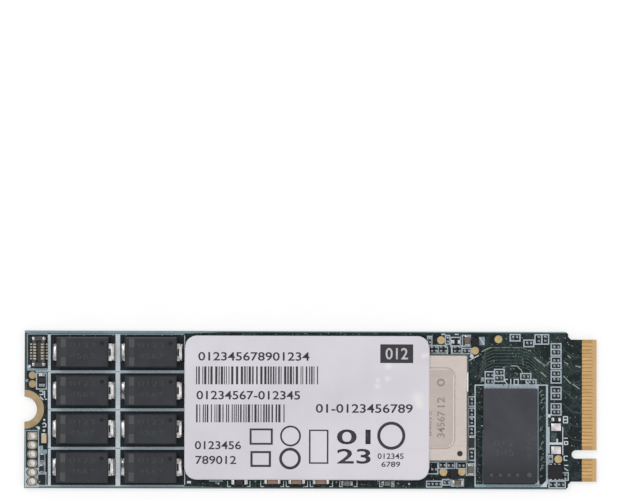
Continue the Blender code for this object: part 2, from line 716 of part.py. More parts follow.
def build_capacitors(case_surface, lead_surface, root):
    """Columns and rows of moulded capacitors, each a case with a lead folded under each end."""
    case = case_mesh()
    leads = (
        ("anode_lead", lead_mesh("anode_lead", ANODE_LEAD_RUN), LEFT, math.pi),
        ("cathode_lead", slotted_lead_mesh("cathode_lead", CATHODE_LEAD_RUN), RIGHT, 0.0),
    )
    case.materials.append(case_surface)
    row_pitch = CAP_WIDTH + CAP_ROW_GAP
    column_pitch = CAP_LENGTH + CAP_COLUMN_GAP
    first_x = SCREW_END + SCREW_END_LENGTH + ANODE_REACH + CAP_BODY_LENGTH / 2
    number = 0
    for column in range(CAP_COLUMNS):
        for row in range(CAP_ROWS):
            number += 1
            x = first_x + column * column_pitch
            y = ((CAP_ROWS - 1) / 2 - row) * row_pitch
            holder = bpy.data.objects.new(f"capacitor_{number}_place", None)
            bpy.context.scene.collection.objects.link(holder)
            holder.parent = root
            place(holder, x, y, SEAT)
            make_object(f"tantalum_case_{number}", case, case_surface, holder)
            for name, lead, side, turn in leads:
                end = make_object(f"{name}_{number}", lead, lead_surface, holder)
                place(end, side * CAP_BODY_LENGTH / 2, 0.0, 0.0, turn)


def package_mesh(name, length, width, height, bevel):
    """A moulded package with a small bevel round its upper edge."""
    rings = [
        at_height(rounded_outline(length, width, bevel, 1), 0.0),
        at_height(rounded_outline(length, width, bevel, 1), height - bevel),
        at_height(rounded_outline(length - 2 * bevel, width - 2 * bevel, bevel, 1), height),
    ]
    return loft_mesh(name, rings)


def build_flash(surface, root):
    for index in range(FLASH_COUNT):
        name = f"flash_package_{index + 1}"
        mesh = package_mesh(name, FLASH_LENGTH, FLASH_WIDTH, FLASH_HEIGHT, PACKAGE_EDGE_BEVEL)
        package = make_object(name, mesh, surface, root)
        x = SCREW_END + FLASH_ZONE_START + FLASH_LENGTH / 2 + index * (FLASH_LENGTH + FLASH_GAP)
        place(package, x, FLASH_Y, SEAT)


def lid_rings():
    """Rings of the stamped lid, from the hollow's ceiling out under the brim and up over the plateau."""
    steps = LID_CORNER_STEPS
    foot = LID_PLATEAU_SIZE + 2 * LID_WALL_SLOPE
    hollow = LID_PLATEAU_SIZE - 2 * LID_SHEET
    hollow_foot = foot - 2 * LID_SHEET
    inner_radius = LID_PLATEAU_RADIUS - LID_SHEET
    rise = LID_PLATEAU_RISE
    edge = LID_EDGE_ROUND
    bend = LID_SHOULDER_ROUND
    profile = [
        (hollow, inner_radius, rise),
        (hollow_foot, inner_radius, 0.0),
        (LID_SIZE, LID_CORNER_RADIUS, 0.0),
        (LID_SIZE, LID_CORNER_RADIUS, LID_SHEET - edge),
        (LID_SIZE - 2 * edge, LID_CORNER_RADIUS, LID_SHEET),
        (foot, LID_PLATEAU_RADIUS + LID_WALL_SLOPE, LID_SHEET),
    ]
    for out, up in arc(-bend, -bend, bend, 0, 90, LID_SHOULDER_STEPS):
        profile.append((LID_PLATEAU_SIZE + 2 * out, LID_PLATEAU_RADIUS + out, LID_SHEET + rise + up))
    return [at_height(rounded_outline(size, size, radius, steps), z) for size, radius, z in profile]


def build_controller(substrate_surface, die_surface, lid_surface, root):
    """The controller: a carrier with its silicon die, under a stamped lid shaped like a hat."""
    mesh = package_mesh("controller_substrate", SUBSTRATE_SIZE, SUBSTRATE_SIZE, SUBSTRATE_THICKNESS, FIT_GAP)
    substrate = make_object("controller_substrate", mesh, substrate_surface, root)
    place(substrate, CONTROLLER_X, CONTROLLER_Y, SEAT)
    mesh = package_mesh("controller_die", DIE_LENGTH, DIE_WIDTH, DIE_THICKNESS, FIT_GAP)
    die = make_object("controller_die", mesh, die_surface, root)
    place(die, CONTROLLER_X, CONTROLLER_Y, SUBSTRATE_TOP + FIT_GAP)
    mesh = shade_round(loft_mesh("controller_lid", lid_rings()))
    lid = make_object("controller_lid", mesh, lid_surface, root)
    place(lid, CONTROLLER_X, CONTROLLER_Y, SUBSTRATE_TOP + FIT_GAP)


def ball_places():
    """Centres of the memory package's solder balls: full rows with the middle columns left empty."""
    columns = int((MEMORY_LENGTH - 2 * BALL_FIELD_MARGIN) / BALL_PITCH) + 1
    rows = int((MEMORY_WIDTH - 2 * BALL_FIELD_MARGIN) / BALL_PITCH) + 1
    places = []
    for column in range(columns):
        from_middle = column - (columns - 1) / 2
        if abs(from_middle) < BALL_EMPTY_COLUMNS / 2:
            continue
        for row in range(rows):
            places.append((from_middle * BALL_PITCH, (row - (rows - 1) / 2) * BALL_PITCH))
    return places


def build_memory(surface, root):
    """The memory package, standing on a field of solder balls that shows from the side."""
    mesh = package_mesh("memory_package", MEMORY_LENGTH, MEMORY_WIDTH, MEMORY_HEIGHT, PACKAGE_EDGE_BEVEL)
    package = make_object("memory_package", mesh, surface, root)
    place(package, MEMORY_X, MEMORY_Y, SEAT + BALL_HEIGHT)
    balls = bmesh.new()
    for x, y in ball_places():
        outline = shifted(circle_outline(BALL_RADIUS, BALL_SIDES), x + MEMORY_X, y + MEMORY_Y)
        add_prism(balls, outline, SEAT, SEAT + BALL_HEIGHT + BALL_SINK)
    add_boolean(package, "solder_balls", balls, "UNION")


def label_mesh():
    """A sheet on the flash packages that climbs a short slope on to the lid's plateau, where it ends."""
    start = SCREW_END + FLASH_ZONE_START - LABEL_LEAD_IN
    centre = start + LABEL_LENGTH / 2
    end = start + LABEL_LENGTH
    outline = rounded_outline(LABEL_LENGTH, LABEL_WIDTH, LABEL_CORNER_RADIUS, LABEL_CORNER_STEPS)
    outline = shifted(outline, centre, FLASH_Y)
    plateau_start = CONTROLLER_X - LID_PLATEAU_SIZE / 2
    half_plateau = LID_PLATEAU_SIZE / 2
    shape = bmesh.new()

    def step_ring(grow, z):
        """Three sides of the raised stretch, which is open at the label's end."""
        x = plateau_start - grow
        y = half_plateau + grow
        points = [(end, -y), (x, -y), (x, y), (end, y)]
        return [shape.verts.new((px, py + CONTROLLER_Y, z)) for px, py in points]

    raised = step_ring(FIT_GAP, LABEL_HIGH)
    foot = step_ring(FIT_GAP + LABEL_SLOPE, LABEL_LOW)
    shape.faces.new(list(reversed(raised)))
    for i in range(len(raised) - 1):
        shape.faces.new((raised[i], raised[i + 1], foot[i + 1], foot[i]))
    around = [shape.verts.new((x, y, LABEL_LOW)) for x, y in outline]
    shape.faces.new(around + foot)
    return to_mesh(shape, "label")


def build_label(surface, root):
    label = make_object("label", label_mesh(), surface, root)
    sheet = label.modifiers.new("sheet", "SOLIDIFY")
    sheet.thickness = LABEL_THICKNESS
    sheet.offset = 1.0
    sheet.use_even_offset = True


def build_chip(name, size, surface, x, y, root, upright=False):
    mesh = loft_mesh(name, chip_rings(size, 0.0))
    chip = make_object(name, mesh, surface, root)
    place(chip, x, y, SEAT, math.pi / 2 if upright else 0.0)


def build_chips(surfaces, root):
    """Every chip large enough to be a piece of its own."""
    chips = places_of_pieces(SCREW_END_MIDDLE, SCREW_END_PIECES)
    chips += places_of_pieces(SCREW_END_CORNER, HEADER_PIECES)
    chips += places_of_pieces(CONTROLLER_TOP_CORNER, CONTROLLER_TOP_PIECES)
    chips += places_of_pieces(CONTROLLER_FOOT_CORNER, CONTROLLER_FOOT_PIECES)
    chips += places_of_pieces(FLASH_LOWER_EDGE, LOWER_EDGE_PIECES)
    chips += places_of_pieces(SHOULDER_CORNER, SHOULDER_PIECES)
    for name, size, surface, x, y, upright in chips:
        build_chip(name, size, surfaces[surface], x, y, root, upright)


def places_of_pieces(corner, pieces):
    left, lower = corner
    return [(name, size, surface, left + x, lower + y, turn) for name, size, surface, x, y, turn in pieces]


def build_small_packages(surface, root):
    """The clock driver, the supervisor and the inductor: small moulded blocks."""
    packages = (
        ("clock_driver", CLOCK_DRIVER_SIZE, CONTROLLER_FOOT_CORNER, CLOCK_DRIVER_PLACE),
        ("supervisor", SUPERVISOR_SIZE, SCREW_END_CORNER, SUPERVISOR_PLACE),
        ("power_inductor", INDUCTOR_SIZE, CONTROLLER_TOP_CORNER, INDUCTOR_PLACE),
    )
    for name, (length, width, height), corner, (x, y) in packages:
        mesh = package_mesh(name, length, width, height, PACKAGE_EDGE_BEVEL)
        place(make_object(name, mesh, surface, root), corner[0] + x, corner[1] + y, SEAT)


def build_regulator(surface, root):
    """The voltage regulator, with three terminals that just show past each long side."""
    length, width, height = REGULATOR_SIZE
    x = SHOULDER_CORNER[0] + REGULATOR_PLACE[0]
    y = SHOULDER_CORNER[1] + REGULATOR_PLACE[1]
    mesh = package_mesh("voltage_regulator", length, width, height, PACKAGE_EDGE_BEVEL)
    regulator = make_object("voltage_regulator", mesh, surface, root)
    place(regulator, x, y, SEAT)
    pins = bmesh.new()
    reach = width / 2 + REGULATOR_PIN_REACH
    root_end = width / 2 - REGULATOR_PIN_ROOT
    lift = FIT_GAP
    for side in (-1, 1):
        for step in (-1, 0, 1):
            middle = x + step * REGULATOR_PIN_PITCH
            x_range = (middle - REGULATOR_PIN_WIDTH / 2, middle + REGULATOR_PIN_WIDTH / 2)
            y_range = (y + side * root_end, y + side * reach)
            add_box(pins, x_range, y_range, (SEAT + lift, SEAT + REGULATOR_PIN_THICKNESS))
    add_boolean(regulator, "regulator_pins", pins, "UNION")


def build_link_connector(surface, root):
    """The small connector at the screw end: an open tub with contacts hooked over its long walls."""
    x, y = SCREW_END + LINK_INSET, UPPER_EDGE - LINK_EDGE_MARGIN
    half_width = LINK_WIDTH / 2
    half_length = LINK_LENGTH / 2
    tub = rounded_outline(LINK_WIDTH, LINK_LENGTH, PACKAGE_EDGE_BEVEL, 1)
    hollow = rounded_outline(LINK_WIDTH - 2 * LINK_WALL, LINK_LENGTH - 2 * LINK_END_WALL, PACKAGE_EDGE_BEVEL, 1)
    rings = [
        at_height(hollow, LINK_FLOOR),
        at_height(hollow, LINK_HEIGHT),
        at_height(tub, LINK_HEIGHT),
        at_height(tub, 0.0),
    ]
    housing = make_object("link_connector", loft_mesh("link_connector", rings), surface, root)
    place(housing, x, y, SEAT)
    metal = bmesh.new()
    skin = LINK_CONTACT_SKIN
    inner = half_width - LINK_WALL - skin
    outer = half_width + skin
    tail = half_width + LINK_TAIL_LENGTH
    top = LINK_HEIGHT + skin
    under_wall = half_width - LINK_WALL / 2
    hook = (
        (inner, LINK_FLOOR / 2), (inner, top), (outer, top), (outer, LINK_TAIL_THICKNESS),
        (tail, LINK_TAIL_THICKNESS), (tail, FIT_GAP), (under_wall, FIT_GAP),
    )
    half_contact = LINK_CONTACT_WIDTH / 2
    for side in (-1, 1):
        for index in range(LINK_CONTACTS):
            middle = y + (index - (LINK_CONTACTS - 1) / 2) * LINK_PITCH
            rings = [
                [(x + side * px, middle + offset, SEAT + pz) for px, pz in hook]
                for offset in (-half_contact, half_contact)
            ]
            add_loft(metal, rings)
        for end in (-1, 1):
            middle = y + end * (half_length - LINK_NAIL_INSET)
            x_range = (x + side * under_wall, x + side * outer)
            y_range = (middle - LINK_NAIL_LENGTH / 2, middle + LINK_NAIL_LENGTH / 2)
            add_box(metal, x_range, y_range, (SEAT + FIT_GAP, SEAT + LINK_HEIGHT / 2))
    bmesh.ops.recalc_face_normals(metal, faces=metal.faces)
    add_boolean(housing, "link_contacts", metal, "UNION")


def build():
    clear_scene()
    root = bpy.data.objects.new("solid_state_drive", None)
    bpy.context.scene.collection.objects.link(root)
    solder_mask = material("solder_mask", (0.03, 0.075, 0.075), 0.35)
    moulding = material("black_moulding", (0.045, 0.047, 0.053), 0.5)
    tinned = material("tinned_lead", (0.62, 0.6, 0.58), 0.3, 1.0)
    nickel = material("nickel_lid", (0.62, 0.56, 0.5), 0.35, 1.0)
    carrier = material("carrier_laminate", (0.05, 0.16, 0.1), 0.45)
    silicon = material("silicon", (0.25, 0.26, 0.3), 0.15, 0.6)
    paper = material("label_film", (0.66, 0.64, 0.68), 0.4)
    chip_surfaces = {
        "ceramic": material("ceramic", (0.3, 0.22, 0.17), 0.5),
        "resistor_body": material("resistor_body", (0.03, 0.03, 0.035), 0.4),
    }
    nylon = material("connector_nylon", (0.09, 0.08, 0.075), 0.55)
    build_board(solder_mask, root)
    build_capacitors(moulding, tinned, root)
    build_flash(moulding, root)
    build_controller(carrier, silicon, nickel, root)
    build_memory(moulding, root)
    build_label(paper, root)
    build_chips(chip_surfaces, root)
    build_small_packages(moulding, root)
    build_regulator(moulding, root)
    build_link_connector(nylon, root)


build()
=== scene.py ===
import math
import random

import bmesh
import bpy
from mathutils import Euler, Matrix, Vector, noise


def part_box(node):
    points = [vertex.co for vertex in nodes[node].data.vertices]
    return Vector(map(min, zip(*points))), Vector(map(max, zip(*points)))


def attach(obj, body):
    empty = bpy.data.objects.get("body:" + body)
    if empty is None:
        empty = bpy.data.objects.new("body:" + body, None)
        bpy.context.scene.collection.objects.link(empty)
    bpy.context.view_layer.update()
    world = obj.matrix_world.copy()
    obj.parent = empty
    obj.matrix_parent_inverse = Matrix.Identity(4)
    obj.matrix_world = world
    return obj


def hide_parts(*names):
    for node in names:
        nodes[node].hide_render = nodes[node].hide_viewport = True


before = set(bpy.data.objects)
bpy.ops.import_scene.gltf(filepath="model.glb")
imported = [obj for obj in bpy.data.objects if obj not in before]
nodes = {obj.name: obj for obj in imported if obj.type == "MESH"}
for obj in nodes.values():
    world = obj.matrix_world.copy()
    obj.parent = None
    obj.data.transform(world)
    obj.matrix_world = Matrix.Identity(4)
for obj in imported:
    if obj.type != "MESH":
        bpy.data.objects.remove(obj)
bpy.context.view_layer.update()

# Levels and sizes in metres
MM = 0.001
BOARD_TOP = 0.8 * MM
SEAT = 0.84 * MM
INK = 0.009 * MM
# The foot of plates laid on the card, and the small steps that keep the faces of plates that overlap apart
SUNK = BOARD_TOP - 0.004 * MM
LIFT = 0.0001 * MM
LEVELS = 16
# Bare metal on the underside lies between these two levels
UNDERSIDE = (0.004 * MM, 0.025 * MM)
# How closely the laminate's layers lie: radians of a wave in a metre
LAMINATE_WAVES = 31000
SCREW_END = -40 * MM
TIP = 40 * MM
CONTACT_START = 37.95 * MM
BEVEL_START = 39.4 * MM
CONTACT_PITCH = 0.5 * MM
CONTACT_HALF = 0.178 * MM
KEY_Y = -6.125 * MM
# The capacitors, the six plated holes beside the screw, and the small connector
BANK_MIDDLE = -26.86 * MM
BANK_HALF = 9.5 * MM
HEADER_X, HEADER_Y, HEADER_PITCH = -38.87 * MM, -3.72 * MM, 1.27 * MM
HEADER_HOLE = 0.335 * MM
LINK_X, LINK_Y, LINK_PITCH = -37.99 * MM, 8.08 * MM, 0.4 * MM

# Camera: straight above the card, a little to its connector side, with a long lens
CAMERA_PLACE = Vector((-3.54 * MM, 15.22 * MM, 388.9 * MM))
CAMERA_TURN = Euler((math.radians(1.054), math.radians(-0.469), math.radians(0.171)))
LENS = 161.85
SENSOR = 36
IMAGE_WIDTH, IMAGE_HEIGHT = 617, 500


def spot(px, py, height=BOARD_TOP):
    """The point of the level at that height which the camera sees at a point of the picture."""
    reach = IMAGE_WIDTH * LENS / SENSOR
    ray = CAMERA_TURN.to_matrix() @ Vector((px - IMAGE_WIDTH / 2, IMAGE_HEIGHT / 2 - py, -reach))
    point = CAMERA_PLACE + ray * ((height - CAMERA_PLACE.z) / ray.z)
    return point.x, point.y


def rgb(red, green, blue):
    """A colour as it looks on a screen, turned to the linear values that shaders use."""
    values = []
    for part in (red, green, blue):
        value = part / 255
        values.append(value / 12.92 if value <= 0.04045 else ((value + 0.055) / 1.055) ** 2.4)
    return (*values, 1)


def feed(tree, socket, source):
    """Links an output to a socket, or sets the socket to a plain value."""
    if isinstance(source, bpy.types.NodeSocket):
        tree.links.new(source, socket)
    else:
        socket.default_value = source


def add(tree, kind, *sources, **settings):
    """A new shader node; each source, an output or a plain value, goes to the socket in its place."""
    made = tree.nodes.new("ShaderNode" + kind)
    for name, value in settings.items():
        setattr(made, name, value)
    for socket, source in zip(made.inputs, sources):
        feed(tree, socket, source)
    return made


class Surface:
    """A material with its shader, and short calls for the nodes that feed it."""

    def __init__(self, name, metallic=0, roughness=0.5, specular=0.5):
        self.material = bpy.data.materials.new(name)
        self.material.use_nodes = True
        self.tree = self.material.node_tree
        self.feed("Metallic", metallic)
        self.feed("Roughness", roughness)
        self.feed("Specular IOR Level", specular)
        self.place = self.node("TexCoord").outputs["Object"]

    def node(self, kind, *sources, **settings):
        return add(self.tree, kind, *sources, **settings)

    def feed(self, socket, value):
        """Gives a socket of the shader an output or a plain value."""
        feed(self.tree, self.tree.nodes["Principled BSDF"].inputs[socket], value)

    def noise(self, scale, detail=3, rough=0.5, stretch=None):
        """Noise whose grain is about 1 / scale metres, stretched along an axis where asked."""
        where = self.place
        if stretch:
            mapping = self.node("Mapping", where)
            mapping.inputs["Scale"].default_value = stretch
            where = mapping.outputs[0]
        made = self.node("TexNoise", where)
        for socket, value in (("Scale", scale), ("Detail", detail), ("Roughness", rough)):
            made.inputs[socket].default_value = value
        return made.outputs["Fac"]

    def math(self, operation, first, second=0):
        return self.node("Math", first, second, operation=operation).outputs[0]

    def sum(self, first, second, share, rest=1):
        """The second value times its share, and the first times the rest."""
        return self.math("ADD", self.math("MULTIPLY", first, rest), self.math("MULTIPLY", second, share))

    def between(self, value, low, high, to_low=0, to_high=1):
        """Maps a range of a value to another range, clamped."""
        return self.node("MapRange", value, low, high, to_low, to_high).outputs[0]

    def mix(self, share, first, second):
        """Blends two colours, each an output or three values as they look on a screen."""
        made = self.node("Mix", share, data_type="RGBA")
        for index, colour in ((6, first), (7, second)):
            feed(self.tree, made.inputs[index], rgb(*colour) if isinstance(colour, tuple) else colour)
        return made.outputs[2]

    def axis(self, name):
        return self.node("SeparateXYZ", self.place).outputs[name]

    def flatness(self):
        """One on level faces and nought on upright ones."""
        normal = self.node("NewGeometry").outputs["True Normal"]
        return self.math("ABSOLUTE", self.node("SeparateXYZ", normal).outputs["Z"])

    def colour(self, value):
        self.feed("Base Color", value)

    def roughness(self, value, low, high):
        self.feed("Roughness", self.between(value, 0.3, 0.7, low, high))

    def bump(self, height, depth):
        made = self.node("Bump")
        made.inputs["Distance"].default_value = depth
        feed(self.tree, made.inputs["Height"], height)
        self.feed("Normal", made.outputs["Normal"])


def solder_mask():
    """Dark teal lacquer over copper areas, paler at the rim and darker inside the capacitor bank as painted
    shade, over a laminate edge and bare laminate.
    """
    made = Surface("solder_mask_lacquer", specular=0.16)
    x, y = made.axis("X"), made.axis("Y")
    patches = made.between(made.noise(700, 2, 0.6), 0.46, 0.54)
    mottle = made.noise(3600, 4, 0.65)
    cells = made.between(mottle, 0.38, 0.62)
    dark = made.mix(cells, (3, 9, 11), (25, 36, 37))
    light = made.mix(cells, (13, 25, 26), (43, 59, 60))
    face = made.mix(patches, dark, light)
    # Painted shade: the lacquer between the capacitors is darker, standing in for the shade of their tall
    # cases
    bank_painted_shade = made.mix(cells, (9, 15, 20), (24, 33, 39))
    from_bank = made.math("ABSOLUTE", made.math("SUBTRACT", x, BANK_MIDDLE))
    outside_bank = made.between(from_bank, BANK_HALF, BANK_HALF + 0.1 * MM)
    face = made.mix(outside_bank, bank_painted_shade, face)
    plain = made.mix(made.noise(260, 2), (12, 23, 24), (24, 38, 38))
    face = made.mix(made.between(made.axis("Z"), 0.3 * MM, 0.5 * MM), plain, face)
    streaks = made.noise(1500, 3)
    far_rim = made.mix(streaks, (108, 128, 131), (137, 159, 162))
    near_rim = made.mix(streaks, (78, 93, 93), (103, 119, 120))
    rim = made.mix(made.between(y, -1 * MM, 1 * MM), near_rim, far_rim)
    rim_start = made.between(x, -17 * MM, -12 * MM, 10.66 * MM, 10.85 * MM)
    across = made.math("SUBTRACT", made.math("ABSOLUTE", y), rim_start)
    at_rim = made.between(across, -0.04 * MM, 0.05 * MM)
    at_end = made.between(x, -39.62 * MM, -39.74 * MM, 0, 0.2)
    face = made.mix(made.math("MAXIMUM", at_rim, at_end), face, rim)
    bare = made.mix(made.noise(5200, 3), (150, 116, 70), (196, 156, 102))
    past = made.between(x, CONTACT_START - 0.01 * MM, CONTACT_START + 0.02 * MM)
    face = made.mix(past, face, bare)
    layers = made.math("SINE", made.math("MULTIPLY", made.axis("Z"), LAMINATE_WAVES))
    weave = made.noise(9000, 2, 0.5, (0.25, 0.25, 1))
    edge = made.mix(weave, (84, 106, 101), (128, 148, 138))
    edge = made.mix(made.between(layers, 0.75, 1), edge, (150, 150, 122))
    side = made.between(made.flatness(), 0.6, 0.4)
    made.colour(made.mix(side, face, edge))
    made.roughness(mottle, 0.34, 0.48)
    made.bump(made.sum(patches, mottle, 0.3), 0.003 * MM)
    return made.material


def moulding(name, dark, light, bump=0.004, specular=0.3):
    """Moulded epoxy with a fine sparkle of its mineral filler."""
    made = Surface(name, specular=specular)
    grain = made.noise(16000, 2, 0.7)
    cloud = made.noise(420, 3, 0.55)
    blend = made.sum(grain, cloud, 0.4, 0.6)
    made.colour(made.mix(made.between(blend, 0.36, 0.64), dark, light))
    made.roughness(grain, 0.5, 0.66)
    made.bump(grain, bump * MM)
    return made.material


def memory_epoxy():
    """The memory package's epoxy: soft clouding, painted shade darker towards the bottom, paler sides as a
    painted highlight, solder tone below it.
    """
    made = Surface("memory_epoxy", specular=0.2)
    cloud = made.noise(210, 3, 0.6)
    grain = made.noise(16000, 2, 0.7)
    blend = made.sum(cloud, grain, 0.45, 0.55)
    face = made.mix(made.between(blend, 0.36, 0.64), (53, 55, 60), (70, 72, 78))
    # Painted shade: the top darkens towards the package's lower end
    lower = made.mix(grain, (38, 39, 43), (52, 53, 57))
    face = made.mix(made.between(made.axis("Y"), -5.4 * MM, -8.8 * MM), face, lower)
    # Painted highlight: the package's sides are paler than its top
    side_highlight = made.mix(grain, (60, 66, 66), (92, 98, 94))
    side = made.between(made.flatness(), 0.55, 0.35)
    body = made.mix(side, face, side_highlight)
    balls = made.mix(grain, (120, 120, 122), (170, 170, 172))
    under = made.between(made.axis("Z"), 1.085 * MM, 1.08 * MM)
    made.colour(made.mix(under, body, balls))
    made.feed("Metallic", under)
    made.roughness(grain, 0.5, 0.64)
    made.bump(grain, 0.004 * MM)
    return made.material


def metal(name, dark, light, rough, scale, bump=0.004, stretch=None):
    """Plated or soldered metal whose tone and gloss wander a little."""
    made = Surface(name, metallic=1)
    wander = made.noise(scale, 3, 0.55, stretch)
    fine = made.noise(scale * 5, 2, 0.6, stretch)
    made.colour(made.mix(made.between(wander, 0.35, 0.65), dark, light))
    made.roughness(fine, *rough)
    made.bump(made.sum(wander, fine, 0.35), bump * MM)
    return made.material


def lid_nickel():
    """Stamped nickel: satin, a shade darker and warmer on the raised plateau, with a painted highlight on its
    sloped faces and a fine rolled grain.
    """
    made = Surface("lid_nickel_plate", metallic=1)
    cloud = made.noise(260, 3, 0.6)
    rolled = made.noise(5200, 3, 0.6, (0.12, 1, 1))
    brim = made.mix(cloud, (184, 174, 168), (194, 185, 179))
    raised = made.mix(cloud, (171, 160, 154), (181, 170, 164))
    height = made.between(made.axis("Z"), 1.62 * MM, 1.96 * MM)
    # Painted highlight: sloped faces, the plateau's shoulders and the lid's sides, are paler
    shoulder_highlight = made.between(made.flatness(), 0.985, 0.8, 0, 0.9)
    made.colour(made.mix(shoulder_highlight, made.mix(height, brim, raised), (226, 215, 209)))
    made.roughness(rolled, 0.3, 0.42)
    made.bump(rolled, 0.0016 * MM)
    return made.material


def label_film():
    """Satin film with faint ripples from being pressed on by hand, painted paler round its blisters as
    painted highlights.
    """
    made = Surface("label_film_satin", roughness=0.4, specular=0.4)
    cloud = made.noise(90, 3, 0.6)
    tone = made.mix(made.between(cloud, 0.35, 0.65), (200, 197, 204), (209, 206, 213))
    # Painted highlight: the film is paler round each blister, standing in for glints
    for bx, by, reach, _ in FILM_BUMPS:
        away = made.node("VectorMath", made.place, (bx, by, FILM_HIGH), operation="DISTANCE")
        share = made.between(away.outputs["Value"], reach * 2.2, reach * 0.1, 0, 0.6)
        tone = made.mix(share, tone, (232, 226, 224))
    made.colour(tone)
    ripple = made.noise(230, 2, 0.5, (1, 0.6, 1))
    grain = made.noise(9000, 2, 0.6)
    made.roughness(grain, 0.3, 0.42)
    made.bump(made.sum(ripple, grain, 0.02), 0.02 * MM)
    return made.material


def two_tone(name, first, second, scale=6000, rough=(0.5, 0.65), specular=0.4):
    """A matt or glazed surface whose two close tones mix in a fine mottle."""
    made = Surface(name, specular=specular)
    mottle = made.noise(scale, 4, 0.6)
    made.colour(made.mix(made.between(mottle, 0.32, 0.68), first, second))
    made.roughness(mottle, *rough)
    made.bump(mottle, 0.003 * MM)
    return made.material


SILK = two_tone("legend_ink", (170, 181, 188), (207, 215, 220))
# Only the painted reflection beside the lid uses this white
REFLECTION_WHITE = two_tone("painted_reflection_white", (232, 235, 237), (246, 248, 249))
MID_SILK = two_tone("legend_ink_shaded", (142, 156, 167), (178, 191, 200))
DIM_SILK_AND_HIGHLIGHTS = two_tone("legend_ink_thin_and_edge_highlights", (104, 126, 136), (148, 165, 176))
TRACE = two_tone("lacquer_over_copper", (30, 46, 45), (80, 98, 93), 3500, (0.32, 0.44), 0.2)
BRIGHT_TRACE = two_tone("lacquer_thin_on_copper", (104, 118, 112), (160, 164, 150), 3500, (0.3, 0.42))
GOLD = metal("pad_gold", (164, 145, 107), (182, 161, 122), (0.3, 0.44), 2600)
RING_GOLD = metal("ring_gold", (140, 124, 93), (156, 138, 108), (0.32, 0.48), 900)
FINGER_GOLD = metal("contact_gold", (180, 145, 98), (194, 159, 112), (0.26, 0.4), 1800, stretch=(0.2, 1, 1))
TIN = metal("solder_tin", (134, 134, 136), (190, 190, 192), (0.16, 0.4), 5200, 0.02)
FILLET_TIN = metal("fillet_tin", (166, 164, 163), (212, 210, 209), (0.3, 0.5), 1600, 0.008)
LEAD_TIN = metal("lead_tin", (82, 80, 83), (212, 210, 209), (0.24, 0.4), 1000, 0.008)
HEEL_TIN = metal("lead_tin_bright", (136, 134, 134), (204, 202, 200), (0.24, 0.4), 1000, 0.008)
CHIP_TIN = metal("chip_tin", (112, 114, 118), (158, 160, 164), (0.16, 0.4), 5200, 0.02)
PAD_TIN = metal("pad_solder", (178, 173, 177), (196, 190, 194), (0.2, 0.4), 2400, 0.03)
HEADER_TIN = metal("header_plating", (124, 117, 107), (148, 140, 131), (0.3, 0.45), 3000)
HEADER_LIP = metal("header_solder", (204, 198, 188), (220, 214, 204), (0.5, 0.6), 3000, 0.001)
LINK_GOLD = metal("link_gold", (146, 138, 124), (184, 175, 158), (0.3, 0.42), 3000)
PACKAGE = moulding("package_epoxy", (52, 52, 57), (66, 66, 71))
BLACK_PACKAGE = moulding("package_epoxy_black", (20, 20, 24), (32, 32, 36), specular=0.2)
CASE = moulding("capacitor_epoxy", (37, 39, 43), (53, 55, 59), 0.006, specular=0.2)
DARK_BODY = two_tone("resistor_glaze", (22, 23, 26), (40, 41, 44), 5200, (0.25, 0.4), 0.3)
BROWN_BODY = two_tone("fired_ceramic", (84, 78, 68), (108, 100, 88), 4200, (0.4, 0.55))
PINK_BODY = two_tone("fired_ceramic_pink", (120, 96, 82), (144, 117, 101), 4200, (0.4, 0.55))
TAN_BODY = two_tone("pale_ceramic", (176, 157, 124), (198, 178, 146), 4200, (0.4, 0.55))
GREY_BODY = two_tone("grey_ceramic", (84, 92, 88), (110, 116, 110), 4200, (0.4, 0.55))
NYLON = two_tone("connector_nylon_black", (59, 57, 58), (78, 75, 77), 3600, (0.45, 0.6), 0.25)
CARRIER = two_tone("carrier_lacquer", (70, 78, 76), (96, 103, 101), 3000, (0.35, 0.5))
SILICON = two_tone("polished_silicon", (86, 88, 98), (98, 100, 110), 1500, (0.1, 0.2))
# Also paints the highlight strip along two cases' upper edges
STRIPE = two_tone("polarity_ink", (65, 67, 69), (79, 80, 81), 5200, (0.5, 0.65), 0.2)
FAINT_STRIPE = two_tone("polarity_ink_worn", (48, 49, 53), (60, 61, 63), 5200, (0.5, 0.65), 0.2)
FAINT = two_tone("faint_laser_mark", (56, 57, 61), (68, 68, 71), 7000, (0.5, 0.65), 0.2)
SOFT_MARK = two_tone("worn_laser_mark", (67, 68, 72), (80, 81, 85), 7000, (0.5, 0.65), 0.2)
# Also paints the shadow laid over the capacitor leads' slots
PIT = two_tone("pit_and_slot_shadow", (26, 28, 30), (34, 36, 39), 5200, (0.5, 0.65), 0.15)
LID_MARK = two_tone("lid_laser_mark", (140, 130, 124), (154, 144, 137), 7000, (0.4, 0.5), 0.3)
PRINT = two_tone("label_ink", (27, 26, 31), (42, 41, 46), 7000, (0.4, 0.55))
REVERSE = two_tone("label_ink_reversed", (186, 184, 190), (198, 196, 202), 7000, (0.4, 0.55))
PIN_DOT = two_tone("pin_dot_ink", (20, 17, 18), (32, 28, 29), 6000, (0.45, 0.6))
MEMORY = memory_epoxy()
MASK = solder_mask()
NICKEL = lid_nickel()


def placed(name, data):
    """A new object in the scene."""
    made = bpy.data.objects.new(name, data)
    bpy.context.scene.collection.objects.link(made)
    return made


def formed(name, shape, *surfaces):
    """Turns a bmesh into an object with those materials."""
    mesh = bpy.data.meshes.new(name)
    shape.to_mesh(mesh)
    shape.free()
    for surface in surfaces:
        mesh.materials.append(surface)
    return placed(name, mesh)


def piece(name, shape, *surfaces, slot="board", smooth=None):
    """Turns a bmesh into a piece that rides on the card."""
    bmesh.ops.recalc_face_normals(shape, faces=shape.faces)
    made = formed(name, shape, *surfaces)
    if smooth:
        made.data.shade_smooth()
        made.data.set_sharp_from_angle(angle=math.radians(smooth))
    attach(made, "root")
    return made


